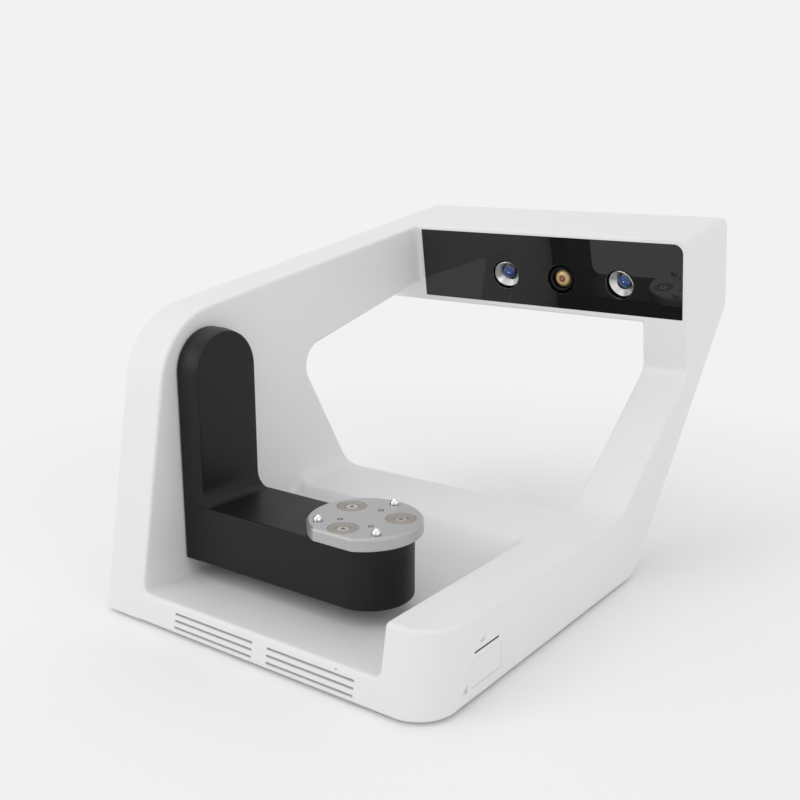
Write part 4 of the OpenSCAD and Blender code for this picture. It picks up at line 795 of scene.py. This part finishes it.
def copies(name, item, points, material):
    """Geometry Nodes: one mesh with the item set at every (place, rotation matrix)."""
    mesh = bpy.data.meshes.new(name)
    mesh.from_pydata([tuple(p) for p, _ in points], [], [])
    turns = mesh.attributes.new("turn", "FLOAT_VECTOR", "POINT")
    for k, (_, turn) in enumerate(points):
        turns.data[k].vector = turn.to_euler("XYZ")
    piece = bpy.data.objects.new(name, mesh)
    bpy.context.scene.collection.objects.link(piece)
    tree = bpy.data.node_groups.new(name, "GeometryNodeTree")
    tree.interface.new_socket("Places", in_out="INPUT", socket_type="NodeSocketGeometry")
    item_socket = tree.interface.new_socket("Item", in_out="INPUT", socket_type="NodeSocketObject")
    finish_socket = tree.interface.new_socket("Finish", in_out="INPUT", socket_type="NodeSocketMaterial")
    tree.interface.new_socket("Copies", in_out="OUTPUT", socket_type="NodeSocketGeometry")
    start = add(tree, "NodeGroupInput")
    form = add(tree, "GeometryNodeObjectInfo", None, Object=start.outputs["Item"])
    turn = add(tree, "GeometryNodeInputNamedAttribute", {"data_type": "FLOAT_VECTOR", "Name": "turn"})
    spread = add(tree, "GeometryNodeInstanceOnPoints", None, Points=start.outputs["Places"],
                 Instance=form.outputs["Geometry"], Rotation=turn.outputs["Attribute"])
    real = add(tree, "GeometryNodeRealizeInstances", None, Geometry=spread.outputs["Instances"])
    coat = add(tree, "GeometryNodeSetMaterial", None, Geometry=real.outputs[0], Material=start.outputs["Finish"])
    add(tree, "NodeGroupOutput", None, Copies=coat.outputs[0])
    spreading = piece.modifiers.new("copies", "NODES")
    spreading.node_group = tree
    spreading[item_socket.identifier] = item
    spreading[finish_socket.identifier] = material
    applied(piece)
    if not piece.data.materials:
        piece.data.materials.append(material)
    bpy.data.objects.remove(item)
    return piece


def item_of(profile, steps=48, closed=False, socket=0.0):
    """A turned piece at the origin, pointing up, with a hexagon socket of that width sunk in its top."""
    def place(u, v, h):
        return Vector((u, v, h)) / 1000
    bm = bmesh.new()
    turned(bm, profile, place, steps, closed)
    piece = finished(bm, "item")
    if socket:
        top = max(h for _, h in profile)
        bm = bmesh.new()
        prism(bm, circle(socket / math.sqrt(3), steps=6), place, top - socket * 0.45, top + 1)
        cut_out(piece, finished(bm, "hexagon"))
    return smooth(piece, 30)


def on_turntable(name, item, places, material, slot, node):
    """Copies of an item at those places of the disc, each (radius, angle), in the stead of a CAD node."""
    points = [(on_disc(r, a), straight) for r, a in places]
    rides(copies(name, item, points, material), "turntable", slot, node)


straight = Matrix.Identity(3)
magnet_metal = surface("nickel_plated_magnet", "#ABA39B", 0.42, grain=0.5, depth=0.006, mottle=0.25, Metallic=0.7)
ringed(magnet_metal, 1.1, 0.06, 0.8)
item = item_of([(4.5, -0.15), (4.65, 0), (9.75, 0), (10, -0.25), (10, -4.9), (4.5, -4.9)], 64, True)
on_turntable("ring_magnets", item, magnet_at, magnet_metal, "magnet_metal", "disc_magnets")

bright_steel = surface("zinc_plated_steel", "#C6C4BE", 0.26, grain=0.2, depth=0.001, mottle=0.06, Metallic=1.0)
item = item_of([(0, -4.9), (4.4, -4.9), (4.4, -0.6), (4.1, -0.3), (0, -0.3)], 48, False, 2.6)
on_turntable("magnet_centre_screws", item, magnet_at, bright_steel, "steel_screw", "magnet_screws")

chrome = surface("polished_chrome_steel", "#E6E6E8", 0.05, grain=2.0, depth=0.0002, mottle=0.01, Metallic=1.0)
ball_r, ball_up = 3, 1
ball = [(ball_r * along(a)[1], ball_up - ball_r * along(a)[0]) for a in range(30, 180, 6)]
item = item_of([(0, -4.9), (1.5, -4.9), (1.5, -1.6)] + ball + [(0, ball_up + ball_r)], 48)
on_turntable("centring_balls", item, stud_at, chrome, "ball_chrome", "ball_studs")

black_steel = surface("black_oxide_steel", "#2A2A2C", 0.38, grain=0.25, depth=0.002, mottle=0.1, Metallic=0.85)
item = item_of([(0, -8.2), (1.0, -8.2), (1.0, -1.7), (1.83, -1.7), (1.83, -0.55), (1.68, -0.4), (0, -0.4)], 32,
               False, 1.7)
on_turntable("disc_fixing_screws", item, screw_at, black_steel, "dark_screw", "disc_screws")

# ---------------------------------------------------------------------------------------------------------
# Underside: a dark moulded base plate in its opening, countersunk screws, and four round rubber feet.
dark_abs = surface("dark_grey_ABS", "#3A3B3D", 0.5, grain=0.4, depth=0.008, mottle=0.04)
rides(softened("underside_plate", "base_plate", 0.4, dark_abs), "housing", "dark_housing", "base_plate")
rubber = surface("black_rubber", "#232325", 0.75, grain=0.15, depth=0.006, mottle=0.1)
item = item_of([(0, -2), (7.1, -2), (7.4, -1.7), (8.0, 0), (0, 0)], 64)
feet_at = ((24, 24), (240, 30), (24, 212), (250, 212))
rides(copies("feet", item, [(at(x, y, 0), straight) for x, y in feet_at], rubber),
      "housing", "foot_rubber", "rubber_feet")

# Cover screws: M3 machine screws with flat sunk heads and hexagon sockets, bright zinc plated, or black on
# the arm.
sunk_screw = [(0, -8.8), (1.3, -8.8), (1.5, -8.5), (1.5, -2.0), (2.7, -2.0), (2.75, -1.9), (2.75, -0.15),
              (2.6, 0), (0, 0)]
socket_w = 2.6


def pointing(direction):
    """The rotation that turns the top of an item towards a direction."""
    return Vector(direction).to_track_quat("Z", "Y").to_matrix()


head_out = in_head(0, 1, 0) - in_head(0, 0, 0)
base_screws_at = ((50, 18), (215, 18), (50, 118), (222, 118), (50, 222), (222, 222))
side_screws_at = ((26, 50), (198, 63), (172, 128), (112, 197), (296, 211))
for name, node, body, slot_name, finish, points in (
        ("base_plate_screws", "base_screws", "housing", "steel_screw", bright_steel,
         [(at(x, y, 0), pointing((0, 0, -1))) for x, y in base_screws_at]),
        ("left_cover_screws", "side_cover_screws", "housing", "steel_screw", bright_steel,
         [(at(0, y, z), pointing((-1, 0, 0))) for y, z in side_screws_at]),
        ("arm_underside_screws", "arm_cover_screws", "arm", "dark_screw", black_steel,
         [(at(x, y, leg_low), pointing((0, 0, -1))) for x, y in arm_posts])):
    rides(copies(name, item_of(sunk_screw, 32, False, socket_w), points, finish), body, slot_name, node)
short_screw = [(r, max(h, -4.8)) for r, h in sunk_screw[:2]] + sunk_screw[3:]
points = [(in_head(x, head_depth, v), pointing(head_out)) for x in (48, rear_x1 - 30) for v in (-11, 26)]
rides(copies("head_cover_screws", item_of(short_screw, 32, False, socket_w), points, bright_steel),
      "housing", "steel_screw", "rear_cover_screws")

# ---------------------------------------------------------------------------------------------------------
# Right side: a long push button of the housing's white ABS with a fine gap round it, which slides in the wall,
# and above it a light strip of smoked acrylic, pressed in its slot.
power_key = softened("power_key", "power_button", 0.5, white_abs, segments=3)
rides(power_key, "button", "white_shell", "power_button")
smoked_acrylic = surface("smoked_acrylic", "#1A1A1C", 0.12, grain=1.0, depth=0.0005)
rides(softened("status_light", "status_strip", 0.1, smoked_acrylic), "housing", "black_plastic", "status_strip")

# ---------------------------------------------------------------------------------------------------------
# Rear: a dark connector plate with the power inlet, a plated data socket and a rocker switch in a black frame,
# and a fan behind the air slots. All are bought parts of moulded plastic and stamped steel.
black_nylon = surface("black_nylon", "#18181A", 0.42, grain=0.3, depth=0.004, mottle=0.08)
stamped_steel = surface("nickel_plated_steel", "#BDBBB6", 0.22, grain=0.3, depth=0.001, Metallic=1.0)
for name, node, body, width, finish, slot_name in (
        ("connector_panel", "rear_connector_plate", "housing", 0.3, dark_abs, "connector_plate"),
        ("power_inlet_jack", "power_inlet", "housing", 0.2, black_nylon, "black_plastic"),
        ("data_port", "data_socket", "housing", 0.1, stamped_steel, "socket_metal"),
        ("rocker_bezel", "rocker_frame", "housing", 0.4, black_nylon, "black_plastic"),
        ("rocker_key_cap", "rocker", "rocker_key", 0.3, black_nylon, "black_plastic"),
        ("fan_housing", "fan_frame", "housing", 0.3, black_nylon, "black_plastic"),
        ("fan_wheel", "fan_rotor", "fan", 0.15, black_nylon, "black_plastic")):
    rides(softened(name, node, width, finish), body, slot_name, node)

# ---------------------------------------------------------------------------------------------------------
# Inner works, hidden by the covers: drives, bearings, belts, optics bracket and board keep the CAD's forms and
# take the finish of the real parts.
cast = surface("cast_aluminium", "#A9ABAD", 0.45, grain=0.6, depth=0.02, mottle=0.08, Metallic=0.9)
steel = surface("ground_bearing_steel", "#C9CBCE", 0.16, grain=0.1, depth=0.0008, stretch=(1, 0.1, 0.1),
                Metallic=1.0)
milled = surface("milled_aluminium", "#C2C3C5", 0.28, grain=0.2, depth=0.002, stretch=(0.05, 1, 1),
                 Metallic=1.0)
motor_paint = surface("grey_painted_motor", "#55575A", 0.4, grain=0.3, depth=0.005, mottle=0.05, Metallic=0.2)
solder_mask = surface("green_solder_mask", "#1E5A38", 0.25, grain=0.8, depth=0.006, mottle=0.12)
brass = surface("turned_brass", "#C8A35A", 0.24, grain=0.15, depth=0.001, Metallic=1.0)
ribbon = surface("grey_ribbon_cable", "#8B8D90", 0.5, grain=1.27, depth=0.15, mottle=0.05,
                 stretch=(1, 0.02, 0.02))
finishes = {
    cast: ["bearing_housing", "optics_bracket", "motor_bracket"],
    steel: ["tilt_bearings", "turntable_bearings", "tilt_shaft"],
    milled: ["tilt_pulley", "tilt_pinion", "turntable_pulley", "turntable_pinion", "turntable_spindle"],
    motor_paint: ["tilt_motor", "turntable_motor"],
    rubber: ["tilt_belt", "turntable_belt"],
    solder_mask: ["main_board", "button_switch"],
    brass: ["board_standoffs"],
    ribbon: ["wiring_loom"],
    black_nylon: ["camera_left_body", "camera_right_body", "projector_body"],
    bright_steel: ["optics_screws", "board_screws", "bracket_screws", "shaft_screws"]}
for material, names in finishes.items():
    for name in names:
        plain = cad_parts[name].data
        plain.materials.clear()
        plain.materials.append(material)
